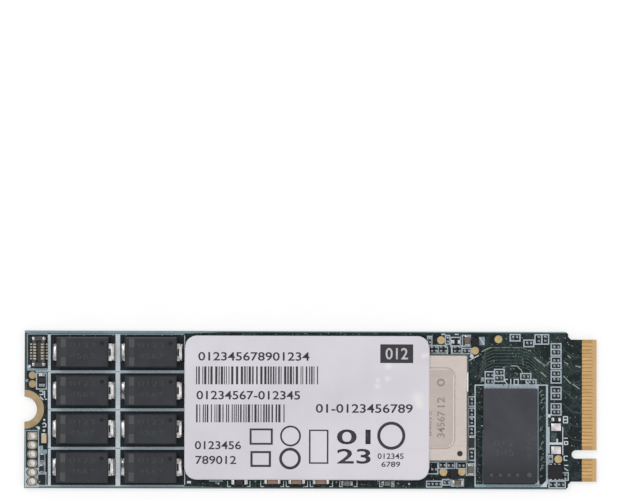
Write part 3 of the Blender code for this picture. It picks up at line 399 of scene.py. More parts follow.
def walls(shape, first, second, index=0):
    """The faces between two closed rows of points."""
    for i in range(len(first)):
        j = (i + 1) % len(first)
        shape.faces.new((first[i], first[j], second[j], second[i])).material_index = index


def prism(shape, outline, low, high, index=0):
    """A closed plate with that outline between two levels, its face a hair off its neighbours' faces."""
    high += len(shape.faces) // 6 % LEVELS * LIFT
    lower = [shape.verts.new((x, y, low)) for x, y in outline]
    upper = [shape.verts.new((x, y, high)) for x, y in outline]
    for cap in (lower[::-1], upper):
        shape.faces.new(cap).material_index = index
    walls(shape, lower, upper, index)


def block(shape, middle, size, bevel=0, index=0, segments=1):
    """A box with softened edges."""
    place = Matrix.Translation(middle) @ Matrix.Diagonal((*size, 1))
    verts = bmesh.ops.create_cube(shape, size=1, matrix=place)["verts"]
    edges = list({edge for vert in verts for edge in vert.link_edges})
    faces = {face for vert in verts for face in vert.link_faces}
    if bevel:
        result = bmesh.ops.bevel(
            shape, geom=edges, offset=bevel, segments=segments, profile=0.5, affect="EDGES",
            clamp_overlap=True,
        )
        faces = {face for vert in result["verts"] for face in vert.link_faces}
    for face in faces:
        face.material_index = index


def circle(x, y, radius, steps=24, start=0, sweep=360):
    """Points along a circle, or along a part of one."""
    turn = math.radians(sweep) / steps
    first = math.radians(start)
    last = steps if sweep >= 360 else steps + 1
    angles = [first + turn * i for i in range(last)]
    return [(x + radius * math.cos(angle), y + radius * math.sin(angle)) for angle in angles]


def rounded(x0, y0, x1, y1, radius):
    """A rectangle with rounded corners."""
    points = []
    for start, cx, cy in ((0, x1, y1), (90, x0, y1), (180, x0, y0), (270, x1, y0)):
        inset_x = cx - radius if cx == x1 else cx + radius
        inset_y = cy - radius if cy == y1 else cy + radius
        points += circle(inset_x, inset_y, radius, 2, start, 90)
    return points


def ring(shape, x, y, inner, outer, low, high, steps=32, start=0, sweep=360, index=0):
    """A washer, or a part of one; inner and outer give a radius for each angle."""
    count = steps if sweep >= 360 else steps + 1
    columns = []
    for i in range(count):
        angle = math.radians(start + sweep * i / steps)
        ends = [radius(angle) if callable(radius) else radius for radius in (inner, outer)]
        (ax, ay), (bx, by) = [(x + r * math.cos(angle), y + r * math.sin(angle)) for r in ends]
        section = ((ax, ay, low), (bx, by, low), (bx, by, high), (ax, ay, high))
        columns.append([shape.verts.new(point) for point in section])
    last = count if sweep >= 360 else count - 1
    for i in range(last):
        walls(shape, columns[i], columns[(i + 1) % count], index)
    if sweep < 360:
        for cap in (columns[0], columns[-1][::-1]):
            shape.faces.new(cap).material_index = index


def strip(shape, points, width, low, high):
    """A line of even width through points, as one closed plate for each stretch."""
    for (ax, ay), (bx, by) in zip(points, points[1:]):
        length = math.hypot(bx - ax, by - ay)
        if length == 0:
            continue
        ux, uy = (bx - ax) / length, (by - ay) / length
        reach = width / 2
        nx, ny = -uy * reach, ux * reach
        ax2, ay2 = ax - ux * reach * 0.5, ay - uy * reach * 0.5
        bx2, by2 = bx + ux * reach * 0.5, by + uy * reach * 0.5
        outline = [(ax2 - nx, ay2 - ny), (bx2 - nx, by2 - ny), (bx2 + nx, by2 + ny), (ax2 + nx, ay2 + ny)]
        prism(shape, outline, low, high)


def seen(points, height=BOARD_TOP):
    """Points of the picture, laid on the level at that height."""
    return [spot(px, py, height) for px, py in points]


def corners(x0, y0, x1, y1):
    """The four corners of a box, in turn."""
    return (x0, y0), (x1, y0), (x1, y1), (x0, y1)


def px_bar(shape, x0, y0, x1, y1, low, high, height=BOARD_TOP):
    """A bar given by two opposite corners in the picture."""
    prism(shape, seen(corners(x0, y0, x1, y1), height), low, high)


def on_face(shape, outline, level, rise=0.003, index=0):
    """A thin mark on the face at that level; its rise is in millimetres."""
    prism(shape, outline, level - 0.002 * MM, level + rise * MM, index)


def sides(x0, y0, x1, y1, width):
    """Four bars along the inner sides of a box."""
    inner_y0, inner_y1 = y0 + width, y1 - width
    return (
        (x0, y0, x1, inner_y0), (x0, inner_y1, x1, y1),
        (x0, inner_y0, x0 + width, inner_y1), (x1 - width, inner_y0, x1, inner_y1),
    )


# One pixel of the picture on the card
PX = 1 / 7.15 * MM


def column(x0, x1, *rows):
    """Boxes in the picture that share their left and right sides."""
    return [(x0, y0, x1, y1) for y0, y1 in rows]


# Legend ink on the card: solid bars, frames, lines and small marks, in picture coordinates; two of the thin
# bars are painted highlights
BANK_ROWS = ((334.2, 371.5), (372, 409.6), (410.1, 448.1), (448.6, 486))
CROSS_ROWS = ((370.4, 373.2), (408.4, 411.2), (446.9, 449.7))
SILK_BARS = (
    *column(47.9, 50.7, *BANK_ROWS), *column(115.6, 120.2, *BANK_ROWS), (184.3, 335.6, 185.1, 484.6),
    (474.6, 384.6, 484, 385.6), (538.6, 384.6, 547, 385.6), (474.6, 384.6, 475.6, 486),
    (562.3, 427, 563.2, 455), (549.6, 442.4, 562.3, 444.7), (548, 414.2, 550.6, 417.4),
    (556.4, 438.8, 558, 442.4), (447, 346.6, 448, 356), (451, 346.6, 452, 356), (187, 481, 191, 483.4),
    (209, 480.6, 223, 481.4), (217.6, 482.6, 219.2, 484.4), (408.3, 483, 410, 484.8),
    (481, 425.5, 484, 426.3), (548.4, 455, 549.2, 480), (548.4, 480, 563.4, 480.8),
)
MID_BARS = (
    *column(50.7, 115.6, *CROSS_ROWS), *column(120.2, 184.4, *CROSS_ROWS), (484, 384.3, 538.6, 388.7),
    (27, 366.8, 30.2, 368.3), (35.5, 370.6, 47.9, 371.8), (38, 431, 38.9, 485.4), (38.9, 446, 39.9, 466.8),
    (43.9, 453.6, 45.4, 471.9), (38.9, 471.9, 46.6, 474.6), (24.6, 485.7, 38.9, 487.2),
    (38.9, 484.8, 47.9, 486.4), (546, 384.6, 548, 484), (548, 426.8, 549.6, 453.6),
)
# The bars at x 482.7 and x 537.4 are painted highlights along the memory package's left and right edges, not
# ink
DIM_BARS = (
    (478.9, 336.9, 484.8, 345.2), (50.7, 333.6, 184.4, 334.7), (50.7, 485, 184.4, 486.6),
    (27, 333.8, 27.9, 370.6), (474.6, 484.4, 547, 487.3), (28, 333.4, 48, 334.5),
    (537.4, 388.8, 538.8, 484.4), (482.7, 430, 483.3, 484.4), (25.6, 379.2, 28.2, 381.8),
    (45.1, 474.9, 46.6, 484.6), (24.6, 430, 38.9, 431), (24.6, 431, 25.8, 485.4), (40.2, 445.6, 43, 449.6),
    (39.9, 449.6, 46.9, 453.6), (39.9, 461.5, 43.9, 464.2), (27.9, 368.3, 47.9, 370.6),
    (481, 377.4, 484, 381.2),
)
SILK_FRAMES = (
    (510, 334.3, 520.2, 341.1), (523.7, 339.9, 533.9, 346.9), (534.8, 334.5, 541.8, 344.3),
    (541.8, 334.5, 548.8, 344.3),
    *column(
        551, 561.2, (343.5, 349.4), (349.4, 355.4), (356.8, 363), (363, 368.9), (370.5, 376.8),
        (376.8, 383.2), (386.9, 393.2), (393.2, 399.6), (403.5, 409.4), (409.4, 415.3),
    ),
    (485, 371.5, 494.2, 378.5), (485, 378.5, 494.2, 384.4), (494.4, 369.2, 504.4, 375.4),
    (494.4, 375.4, 504.4, 381.6), (520.6, 373.4, 531, 379.6), (526, 379.6, 536.2, 385.2),
    *column(
        468.3, 475.2, (396.6, 406.4), (408, 417), (417, 426.2), (426.2, 436.2), (436.2, 449.2),
        (449.2, 460.6),
    ),
    (462.3, 335.2, 470.6, 346.5), (36.3, 372.9, 46.6, 389.2), (427, 462, 438, 474),
    (438.4, 461.6, 446.4, 468.6), (446.4, 461.6, 455, 468.6), (456.4, 461.6, 466.8, 468.8),
    (466.4, 463.4, 474.2, 475.4), (451.4, 479.2, 463.6, 486.2), (442.4, 479.4, 450.2, 485.2),
    (426.4, 481, 441.8, 487.2), (548.8, 481.2, 556.6, 488), (556.6, 481.2, 565.4, 488),
    (561.8, 472.6, 568.4, 480.4), (548.8, 455.2, 552.6, 462.4), (427.4, 336.2, 432, 345.2),
    (429, 345.4, 437.6, 353.4), (438.2, 345.4, 446.8, 353.4), (451.9, 345.6, 462, 353.6),
    (462, 348.2, 471.2, 353.8), (445.2, 335.2, 449.8, 344.4), (450.6, 337.2, 460.6, 346.6),
)
SILK_MARKS = (
    ((507.8, 379.4), (504.9, 379.4), (504.9, 381.2), (507.2, 384.2)), ((510.8, 379.2), (510.8, 384.6)),
    ((514.2, 379.4), (514.2, 384.6), (518.2, 384.6), (518.2, 379.4), (514.2, 379.4)),
    ((563.4, 416.6), (567.5, 416.6), (567.5, 422.8), (563.4, 422.8), (563.4, 416.6)),
    ((563.9, 419.7), (567, 419.7)), ((564, 438.2), (567.4, 438.2)),
    ((564.4, 441.6), (567.7, 441.6), (567.7, 444.4), (564.4, 444.4), (564.4, 441.6)),
    ((567.6, 456.2), (564.1, 456.2), (564.1, 460.3), (567, 460.3)), ((564.4, 465.4), (568, 465.4)),
    ((564.4, 468.2), (568, 470.8)), ((478.6, 355.4), (469.2, 360.4)),
    ((39.8, 391), (43, 391), (43, 394.6), (39.8, 394.6)), ((44.6, 391), (44.6, 397.6)),
    ((40.2, 396.6), (43.2, 399.8)), ((45, 399.2), (47, 399.2)), ((36.2, 427), (39, 427), (39, 429.8)),
    ((42.7, 424), (44.4, 422.8), (46, 424.2), (45.6, 426.8), (43, 426.8)), ((479.8, 337.8), (483.8, 344.2)),
    ((441.6, 334.2), (445, 334.2)), ((455, 334.4), (458.4, 334.4)), ((526, 381.4), (528.4, 384)),
)
SILK_TRIANGLES = (((534.8, 484.2), (539.2, 480.4), (539.2, 484.2)), ((540.2, 487), (547, 479.8), (547, 487)))
SILK_DOTS = ((29.4, 366.2, 1.5), (471.6, 356.2, 2), (44.3, 419.8, 1.1), (44, 430.6, 1.3), (38.6, 428, 1.3))

# The supply chips' outlines: they reach out from under the label as two sides with short feet
SUPPLY_OUTLINES = (
    (227.6, 250), (260.8, 283.6), (286.2, 307.6), (310.2, 332.6), (339.6, 357), (379.6, 394),
)
SUPPLY_TOP, SUPPLY_BOTTOM, SUPPLY_FOOT = 481, 486.6, 3


def header_field(shape, low, high):
    """The ink that fills the corners round the last two of the header's pads."""
    for index in (4, 5):
        x, y = HEADER_X, HEADER_Y - index * HEADER_PITCH
        for side_x, reach in ((-1, 1.035 * MM), (1, 0.965 * MM)):
            for side_y in (-1, 1):
                turns = [math.radians(15 * step) for step in range(6)]
                reach_x, reach_y = side_x * 0.84 * MM, side_y * 0.657 * MM
                arc = [(x + reach_x * math.cos(turn), y + reach_y * math.sin(turn)) for turn in turns]
                corner = (x + side_x * reach, y + side_y * HEADER_PITCH / 2)
                prism(shape, (*arc, corner, (corner[0], y)), low, high)


def silkscreen():
    """Legend ink in three strengths: full, shaded and thin; the thin set also holds painted highlights along
    the memory package's sides.
    """
    shape = bmesh.new()
    low, high = SUNK, BOARD_TOP + INK
    shaded = high - 0.0015 * MM
    for bar in SILK_BARS:
        px_bar(shape, *bar, low, high)
    for left, right in SUPPLY_OUTLINES:
        for x, inward in ((left, SUPPLY_FOOT), (right, -SUPPLY_FOOT)):
            side = (x, SUPPLY_TOP), (x, SUPPLY_BOTTOM), (x + inward, SUPPLY_BOTTOM)
            strip(shape, seen(side), 0.7 * PX, low, high)
    for mark in SILK_MARKS:
        strip(shape, seen(mark), PX, low, high)
    for triangle in SILK_TRIANGLES:
        prism(shape, seen(triangle), low, high)
    for px, py, radius in SILK_DOTS:
        prism(shape, circle(*spot(px, py), radius * PX, 12), low, high)
    piece("legend", shape, SILK)
    shape = bmesh.new()
    for bar in MID_BARS:
        px_bar(shape, *bar, low, shaded)
    for x0, y0, x1, y1 in SILK_FRAMES:
        for bar in sides(x0 - 0.4, y0 - 0.4, x1 + 0.4, y1 + 0.4, 1.2):
            px_bar(shape, *bar, low, shaded)
    header_field(shape, low, shaded)
    piece("legend_shaded", shape, MID_SILK)
    shape = bmesh.new()
    for bar in DIM_BARS:
        px_bar(shape, *bar, low, high - 0.003 * MM)
    piece("legend_thin_and_edge_highlights", shape, DIM_SILK_AND_HIGHLIGHTS)


# Copper lines that show through the lacquer, in picture coordinates
BRIGHT_LINES = (
    ((481.7, 351.6), (488, 348.4), (492, 347.5)), ((493.5, 347.5), (500, 347.4)),
    ((502, 347.4), (510, 347.4)), ((512, 347.5), (520, 347.6)), ((522, 347.9), (531, 351)),
    ((534.5, 357.2), (540, 362.8)), ((538.5, 359.5), (545, 366)), ((511, 365.6), (517, 366), (521.4, 370.4)),
    ((563.6, 376), (570.5, 383.5)), ((541, 372.4), (546, 376.6)), ((575.5, 366), (581, 367)),
    ((564.4, 362), (568, 364)), ((546.8, 364.6), (549.6, 361.6)), ((572.7, 384.3), (579.6, 388.9)),
    ((567.8, 355.4), (570.6, 358)), ((503, 368), (506, 366.2)), ((520.9, 369.4), (522.6, 373)),
)
# The copper between the two tinned lands
COPPER_FIELD = (551.2, 432.8, 556.6, 441.4)


def traces():
    """Bundles of copper lines that sweep over the memory to the connector, and lines beside the memory."""
    shape = bmesh.new()
    low, high = SUNK, BOARD_TOP + 0.007 * MM
    for index in range(7):
        rise = index * 3.2
        left = (
            (477 + index, 380 - index * 3.6),
            (486, 369.6 - rise), (493, 366.4 - rise), (520, 366.4 - rise), (529, 369.4 - rise),
            (541, 379 - rise * 0.9), (549, 386 - rise * 0.95),
        )
        strip(shape, seen(left), 0.75 * PX, low, high)
    dice = random.Random(41)
    for index in range(7):
        y = 350 + index * 13.4
        middle = y + 2 + index * 0.4
        points = ((563, y), (567, middle), (573, middle + 5), (580.5, middle + 5.6))
        strip(shape, seen(points), 0.6 * PX, low, high)
    for index in range(9):
        y = 396 + index * 9.7 + dice.uniform(-2, 2)
        strip(shape, seen(((477, y), (479.4, y + 1.8), (482, y + 1.8))), 0.6 * PX, low, high)
    for index in range(9):
        x = 486 + index * 5.6
        strip(shape, seen(((x, 390), (x, 386), (x + 2, 381.4), (x + 2, 372))), 0.6 * PX, low, high)
    px_bar(shape, *COPPER_FIELD, low, high)
    piece("copper_lines", shape, TRACE)
    bright = bmesh.new()
    for line in BRIGHT_LINES:
        strip(bright, seen(line), 0.9 * PX, low, high)
    for _ in range(16):
        x, y = dice.uniform(539.4, 542), dice.uniform(390, 480)
        reach, rise = dice.uniform(1, 3.4), dice.uniform(0.6, 3.6)
        points = ((x, y), (x + reach * 0.4, y - rise * 0.7), (x + reach, y - rise))
        strip(bright, seen(points), dice.uniform(0.4, 0.8) * PX, low, high)
    piece("bright_copper_lines", bright, BRIGHT_TRACE)


# Where vias are scattered, with how many there are, and some that stand alone
VIA_FIELDS = (
    (427, 334, 480, 354, 44), (480, 344, 548, 384, 72), (548, 336, 582, 480, 70), (427, 462, 484, 487, 46),
    (467, 354, 484, 396, 26), (476, 388, 483, 482, 26), (540, 388, 548, 482, 24), (52, 335, 184, 336, 10),
    (186, 483, 428, 487, 50), (186, 333, 428, 335, 34), (496, 334, 568, 345, 20),
)
LONE_VIAS = ((255.4, 481.4), (336.4, 482.2), (378, 481), (216, 483), (398, 483.4))


def vias():
    """Small plated dots under the lacquer, seeded, kept off the parts and thickest near the controller."""
    shape = bmesh.new()
    dice = random.Random(11)
    for x0, y0, x1, y1, count in VIA_FIELDS:
        for _ in range(count):
            x, y = spot(dice.uniform(x0, x1), dice.uniform(y0, y1))
            radius = dice.uniform(0.038, 0.078) * MM
            in_key = x > 35.5 * MM and abs(y - KEY_Y) < 0.9 * MM
            if not in_key and x < CONTACT_START - radius:
                prism(shape, circle(x, y, radius, 8), SUNK, BOARD_TOP + 0.005 * MM)
    for px, py in LONE_VIAS:
        prism(shape, circle(*spot(px, py), 0.13 * MM, 12), SUNK, BOARD_TOP + 0.006 * MM)
    under = random.Random(23)
    for _ in range(150):
        x, y = under.uniform(-36, 36) * MM, under.uniform(-10.4, 10.4) * MM
        prism(shape, circle(x, y, 0.09 * MM, 8), -0.0005 * MM, 0.004 * MM)
    piece("vias", shape, BRIGHT_TRACE)


def bare_metal():
    """Gold pads and ground ring, plated header and tinned lands."""
    shape = bmesh.new()
    low, high = BOARD_TOP - 0.025 * MM, SUNK
    for x, y in TEST_PADS:
        prism(shape, circle(x, y, 0.55 * MM, 28), low, high)
    piece("test_pads", shape, GOLD, slot="nickel")
    shape = bmesh.new()
    for y in (4.77, 3.54):
        prism(shape, circle(-38.9 * MM, y * MM, 0.52 * MM, 28), low, high)
    for bottom, top in ((low, high), UNDERSIDE):
        ring(shape, SCREW_END, 0, 1.752 * MM, 2.72 * MM, bottom, top, 48, -90, 180)
    ring(shape, SCREW_END, 0, 1.742 * MM, 1.753 * MM, 0.01 * MM, high, 48, -90, 180)
    piece("ground_ring", shape, RING_GOLD, slot="nickel")
    shape = bmesh.new()
    for index in range(6):
        x, y = HEADER_X, HEADER_Y - index * HEADER_PITCH
        power = 10 if index == 0 else 2.6

        def outer(angle, power=power):
            across = abs(math.cos(angle) / (0.69 * MM)) ** power
            along = abs(math.sin(angle) / (0.56 * MM)) ** power
            return (across + along) ** (-1 / power)

        ring(shape, x, y, HEADER_HOLE, outer, low, high, 48)
        ring(shape, x, y, HEADER_HOLE, outer, *UNDERSIDE, 48)
        ring(shape, x, y, 0.325 * MM, 0.343 * MM, 0.006 * MM, high, 32)
        ring(shape, x, y, 0.342 * MM, 0.41 * MM, low, high + 0.006 * MM, 32, index=1)
    piece("header_plating", shape, HEADER_TIN, HEADER_LIP, slot="tinned", smooth=40)
    shape = bmesh.new()
    for y in (-2.3, -5.53):
        middle = Vector((34.32 * MM, y * MM, BOARD_TOP + 0.01 * MM))
        block(shape, middle, (1.36 * MM, 1.06 * MM, 0.07 * MM), 0.03 * MM, segments=2)
    piece("tinned_lands", shape, PAD_TIN, slot="tinned", smooth=50)


TEST_PADS = [(x * MM, y * MM) for x, y in (
    (18.2, 9.81), (22.95, 8.36), (26.23, 9.95), (18.56, -8.62), (21.17, -8.57), (34.64, -6.78),
)]


def contact_fingers():
    """Gilded contacts on both faces of the tongue, each a thin plate with rounded inner corners."""
    shape = bmesh.new()
    for first, last, low, high in (
        (1, 57, 0.79, 0.812), (67, 75, 0.79, 0.812), (2, 58, -0.002, 0.012), (68, 74, -0.002, 0.012),
    ):
        for position in range(first, last + 1, 2):
            y = (38 - position) / 2 * CONTACT_PITCH
            low_y, high_y = y - CONTACT_HALF, y + CONTACT_HALF
            outline = rounded(CONTACT_START - 0.02 * MM, low_y, BEVEL_START, high_y, 0.04 * MM)
            prism(shape, outline, max(low, 0.0003) * MM, high * MM)
    piece("contact_fingers", shape, FINGER_GOLD, slot="nickel")


def tip_strip():
    """The bevelled lip of the tongue: pale laminate that the contacts run out on, on both faces."""
    made = Surface("bevelled_laminate", specular=0.3)
    grain = made.noise(7000, 3, 0.6, (1, 0.2, 1))
    lines = made.math("SINE", made.math("MULTIPLY", made.axis("Y"), 2 * math.pi / CONTACT_PITCH))
    base = made.mix(grain, (182, 148, 104), (202, 168, 122))
    made.colour(made.mix(made.between(lines, -0.2, 0.6, 0, 0.8), base, (202, 160, 98)))
    made.roughness(grain, 0.45, 0.6)
    made.bump(grain, 0.004 * MM)
    shape = bmesh.new()
    for y0, y1 in ((-9.9, -6.74), (-5.51, 9.9)):
        start, end = BEVEL_START + 0.002 * MM, TIP - 0.001 * MM
        low = [(start, 0.79), (end, 0.59), (end, 0.604), (start, 0.7999)]
        for sign, offset in ((1, 0), (-1, 0.8)):
            profile = [(x, (offset + sign * z) * MM) for x, z in low]
            ends = [[shape.verts.new((x, y * MM, z)) for x, z in profile] for y in (y0, y1)]
            walls(shape, *ends)
            shape.faces.new(ends[0])
            shape.faces.new(ends[1][::-1])
    piece("tongue_lip", shape, made.material)


def chip(shape, x, y, length, width, height, end, seat, upright, bevel, swell, land):
    """A body (slot 0) between two plated ends (slot 1), each on its land with a small fillet of solder."""
    def turned(along, across):
        return (across, along) if upright else (along, across)

    length, width, height, end = (value * MM for value in (length, width, height, end))
    swell, bevel, land = swell * MM, bevel * MM, land * MM
    body = turned(length - end, width - 0.6 * swell)
    middle = Vector((x, y, seat + height / 2))
    block(shape, middle, (*body, height + swell), bevel * 0.6, 0)
    for side in (-1, 1):
        dx, dy = turned(side * (length - end) / 2, 0)
        size = turned(end + swell, width + 2 * swell)
        block(shape, middle + Vector((dx, dy, 0)), (*size, height + 2 * swell), bevel, 1, 2)
        dx, dy = turned(side * (length / 2 + land / 2 - 0.02 * MM), 0)
        size = turned(land + 0.12 * MM, width + 2.4 * swell)
        place = Vector((x + dx, y + dy, seat + 0.05 * MM))
        block(shape, place, (*size, 0.13 * MM), 0.04 * MM, 1, 2)


# The tiny chips that the card's solid carries: their centres in millimetres, along y and along x
UPRIGHT_CHIPS = (
    *((16.9 + 0.65 * i, 8.59) for i in range(7) if i != 4),
    *((22.51, y) for y in (-6.15, -2.91, -1.48, -0.29, 1.28)),
    (16.63, 9.79), (19.13, 9.91), (31.86, 10.03), (32.79, 10.05), (33.53, -6.73), (35.57, -9.22),
)
FLAT_CHIPS = (
    *((34.34, y + step) for y in (8.55, 6.65, 4.77, 2.44, 0.19) for step in (-0.38, 0.38)), (21.82, 8.33),
    (17.25, -8.23), (18.48, -7.65), (19.58, -7.69), (21.1, -7.69), (19.06, -10.06), (16.79, -10.29),
    (17.89, -10.29), (25.1, 4.94), (25.1, 4.04), (26.35, 5.33), (26.35, 4.53), (30.1, 4.78), (30.86, 3.97),
    (28.56, 10.28), (30.52, 9.46), (33.86, -10.34), (35.02, -10.32),
)


def tiny_chips():
    """Finer bodies and ends over the tiny chips of the card's solid."""
    shape = bmesh.new()
    for centres, upright in ((UPRIGHT_CHIPS, True), (FLAT_CHIPS, False)):
        for x, y in centres:
            chip(shape, x * MM, y * MM, 0.62, 0.3, 0.3, 0.16, BOARD_TOP, upright, 0.025, 0.01, 0.07)
    piece("tiny_chips", shape, DARK_BODY, CHIP_TIN, slot="ceramic", smooth=40)


# The larger chips: node, body, ends, and how long an end and its land are in millimetres
CHIPS = (
    ("strap_resistor", DARK_BODY, CHIP_TIN, 0.5, 0.1), ("header_capacitor", TAN_BODY, TIN, 0.16, 0),
    ("header_resistor_1", DARK_BODY, CHIP_TIN, 0.2, 0.03),
    ("header_resistor_2", DARK_BODY, CHIP_TIN, 0.26, 0.05),
    ("controller_capacitor_1", DARK_BODY, FILLET_TIN, 0.46, 0.1),
    ("controller_capacitor_2", BROWN_BODY, TIN, 0.26, 0.06),
    ("controller_capacitor_3", BROWN_BODY, TIN, 0.26, 0.08),
    ("controller_capacitor_4", BROWN_BODY, TIN, 0.34, 0.1), ("resistor_array", DARK_BODY, TIN, 0.2, 0.03),
    ("lane_capacitor", DARK_BODY, FILLET_TIN, 0.34, 0.1),
    ("supply_resistor", DARK_BODY, FILLET_TIN, 0.52, 0.1),
    *((f"supply_capacitor_{number}", PINK_BODY, FILLET_TIN, 0.4, 0.1) for number in (1, 2, 3)),
    *((f"bypass_capacitor_{number}", GREY_BODY, CHIP_TIN, 0.36, 0.1) for number in (1, 2)),
)


def larger_chips():
    """Finer chips in place of the plain ones."""
    for name, body, ends, end, land in CHIPS:
        low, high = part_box(name)
        size = high - low
        middle = (low + high) / 2
        width, length = sorted((size.x, size.y))
        shape = bmesh.new()
        chip(
            shape, middle.x, middle.y, length / MM, width / MM, size.z / MM, end, low.z, size.y > size.x,
            bevel=0.05, swell=0, land=land,
        )
        made = piece(f"{name}_dressed", shape, body, ends, slot="ceramic", smooth=40)
        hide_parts(name)


def soften(name, width, segments=2):
    """Softens a CAD node's edges with a bevel modifier; its mesh stays as it is."""
    bevel = nodes[name].modifiers.new("soft_edges", "BEVEL")
    bevel.width = width * MM
    bevel.segments = segments
    bevel.limit_method = "ANGLE"
    bevel.angle_limit = math.radians(30)


def dress(name, surface):
    """Gives a CAD node one material."""
    data = nodes[name].data
    data.materials.clear()
    data.materials.append(surface)


# How wide the solder on a lead is, in millimetres
FILLET_WIDTH = 2.43


def solder_fillet(shape, x, y, reach, side, crown, index):
    """Solder that wets a lead's bend and runs on past it: nearly level on top, steep at its outer end."""
    profile = (
        (-0.1 / reach, 1), (0.25, 0.98), (0.5, 0.93), (0.7, 0.82),
        (0.84, 0.62), (0.93, 0.38), (0.98, 0.17), (1, 0),
    )
    base = SEAT - 0.035 * MM
    grid = []
    for share in (-1, -0.97, -0.88, -0.6, 0, 0.6, 0.88, 0.97, 1):
        shrink = math.sqrt(max(0, 1 - abs(share) ** 8))
        line = []
        for along, height in profile:
            stretch = 1 if along < 0 else 0.86 + 0.14 * shrink
            px = x + side * along * reach * stretch * MM
            pz = base + height * (crown - base) * (0.35 + 0.65 * shrink)
            line.append(shape.verts.new((px, y + share * FILLET_WIDTH / 2 * MM, pz)))
        grid.append(line)
    for first, second in zip(grid, grid[1:]):
        for i in range(len(profile) - 1):
            shape.faces.new((first[i], first[i + 1], second[i + 1], second[i])).material_index = index
    for line, flip in ((grid[0], False), (grid[-1], True)):
        foot = shape.verts.new((line[0].co.x, line[0].co.y, base))
        loop = [foot] + line
        shape.faces.new(loop[::-1] if flip else loop)
        line.append(foot)
    back = [line[0] for line in grid]
    shape.faces.new(back + [grid[-1][-1], grid[0][-1]])
    front = [line[len(profile) - 1] for line in grid]
    shape.faces.new(front + [grid[-1][-1], grid[0][-1]])


def capacitors():
    """Finish of the moulded capacitors: worn stripe, ejector pit, faint digits, solder on the leads, a
    painted highlight along two cases' upper edges and a painted shadow over the leads' slots.
    """
    solder, stripes, marks, pits = (bmesh.new() for _ in range(4))
    for number in range(1, 9):
        case = f"tantalum_case_{number}"
        dress(case, CASE)
        soften(case, 0.05)
        low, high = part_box(case)
        x, y = (low.x + high.x) / 2, (low.y + high.y) / 2
        top = high.z
        for name, side, reach in ((f"anode_lead_{number}", -1, 0.36), (f"cathode_lead_{number}", 1, 0.43)):
            dress(name, LEAD_TIN if side < 0 else HEEL_TIN)
            soften(name, 0.02)
            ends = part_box(name)
            edge, crown = ends[max(side, 0)].x, ends[1].z
            solder_fillet(solder, edge, y, reach, side, crown - 0.014 * MM, int(side < 0))
        left = low.x + 0.66 * MM
        right = left + 0.72 * MM
        for bottom, above, index in ((-1.9, -0.7, 0), (-0.7, 0.7, 1), (0.7, 1.9, 0)):
            field = rounded(left, y + bottom * MM, right, y + above * MM, 0.04 * MM)
            on_face(stripes, field, top, index=index)
        # Painted highlight: a pale strip along the upper edge of the top row's two cases
        if number in (1, 5):
            start, end = low.x + 0.12 * MM, high.x - 0.12 * MM
            edge_highlight = rounded(start, high.y - 0.2 * MM, end, high.y - 0.07 * MM, 0.03 * MM)
            on_face(stripes, edge_highlight, top, 0.002)
        pit = circle(high.x - 0.9 * MM, high.y - 0.9 * MM, 0.27 * MM, 20)
        prism(pits, pit, top - 0.06 * MM, top - 0.046 * MM)
        # Painted shadow: a dark plate over the lead at the case's end, where the lead's slot lies in shade
        near, far = high.x + 0.02 * MM, high.x + 0.27 * MM
        prism(pits, corners(near, y - 0.5 * MM, far, y + 0.5 * MM), crown - 0.01 * MM, crown + 0.004 * MM)
        for text, rise in (("0123", 0.62), ("4567", -0.92)):
            foot, head = y + rise * MM, y + (rise + 0.76) * MM
            glyphs(marks, text, x - 1.75 * MM, foot, x + 1.85 * MM, head, top + 0.002 * MM)
    piece("lead_solder", solder, FILLET_TIN, LEAD_TIN, slot="tinned", smooth=60)
    piece("stripes_and_edge_highlights", stripes, STRIPE, FAINT_STRIPE, slot="moulding")
    piece("pits_and_slot_shadows", pits, PIT, slot="moulding")
    ink(piece("case_marks", marks, FAINT, slot="moulding"), 0.003)


# Marks on the lid, the carrier and the packages, and a painted reflection beside the lid, in picture
# coordinates
PIN_ONE = (459.9, 453.6)
# Painted reflection: a white sliver along the lid's right side, laid on the carrier
REFLECTION_BOX = (466.9, 372.4, 468.2, 391.6)
LID_DIGITS = (
    ("0", 437.2, 378.5, 444.7, 386.5), ("12", 437.2, 397, 444.7, 407.2), ("34567", 437.2, 411, 444.7, 437.5),
    ("89012", 429.2, 411, 431.6, 436),
)
MEMORY_DOT = (529.5, 475)
MEMORY_SQUARES = ((491.6, 475.2), (500.4, 475.2), (509.2, 475.2), (517.6, 475.2))
# These say too whether the digits read upwards
MEMORY_DIGITS = (
    ("012", 494, 440, 514, 446.4, False), ("345", 494, 449.6, 514, 456, False),
    ("6789", 527.4, 432, 532, 459, True),
)
SUPERVISOR_DOT = (39.6, 481.8)


def controller():
    """Finish of the lid, its carrier and the die, with the dot, the marks and a painted reflection along the
    lid's right side.
    """
    dress("controller_lid", NICKEL)
    soften("controller_lid", 0.05, 3)
    dress("controller_substrate", CARRIER)
    dress("controller_die", SILICON)
    shape = bmesh.new()
    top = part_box("controller_lid")[0].z + 0.2 * MM
    prism(shape, circle(*spot(*PIN_ONE, top), 0.39 * MM), top - 0.004 * MM, top + 0.004 * MM)
    piece("pin_one_dot", shape, PIN_DOT, slot="nickel")
    # Painted reflection of the lid's right side wall
    side_reflection = bmesh.new()
    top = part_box("controller_substrate")[1].z
    px_bar(side_reflection, *REFLECTION_BOX, top - 0.004 * MM, top + 0.012 * MM, height=top)
    piece("lid_side_reflection", side_reflection, REFLECTION_WHITE, slot="carrier")
    marks = bmesh.new()
    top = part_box("controller_lid")[1].z
    for row in LID_DIGITS:
        seen_digits(marks, *row, top, top + 0.002 * MM, turned=True)
    ink(piece("lid_marks", marks, LID_MARK, slot="nickel"), 0.003)


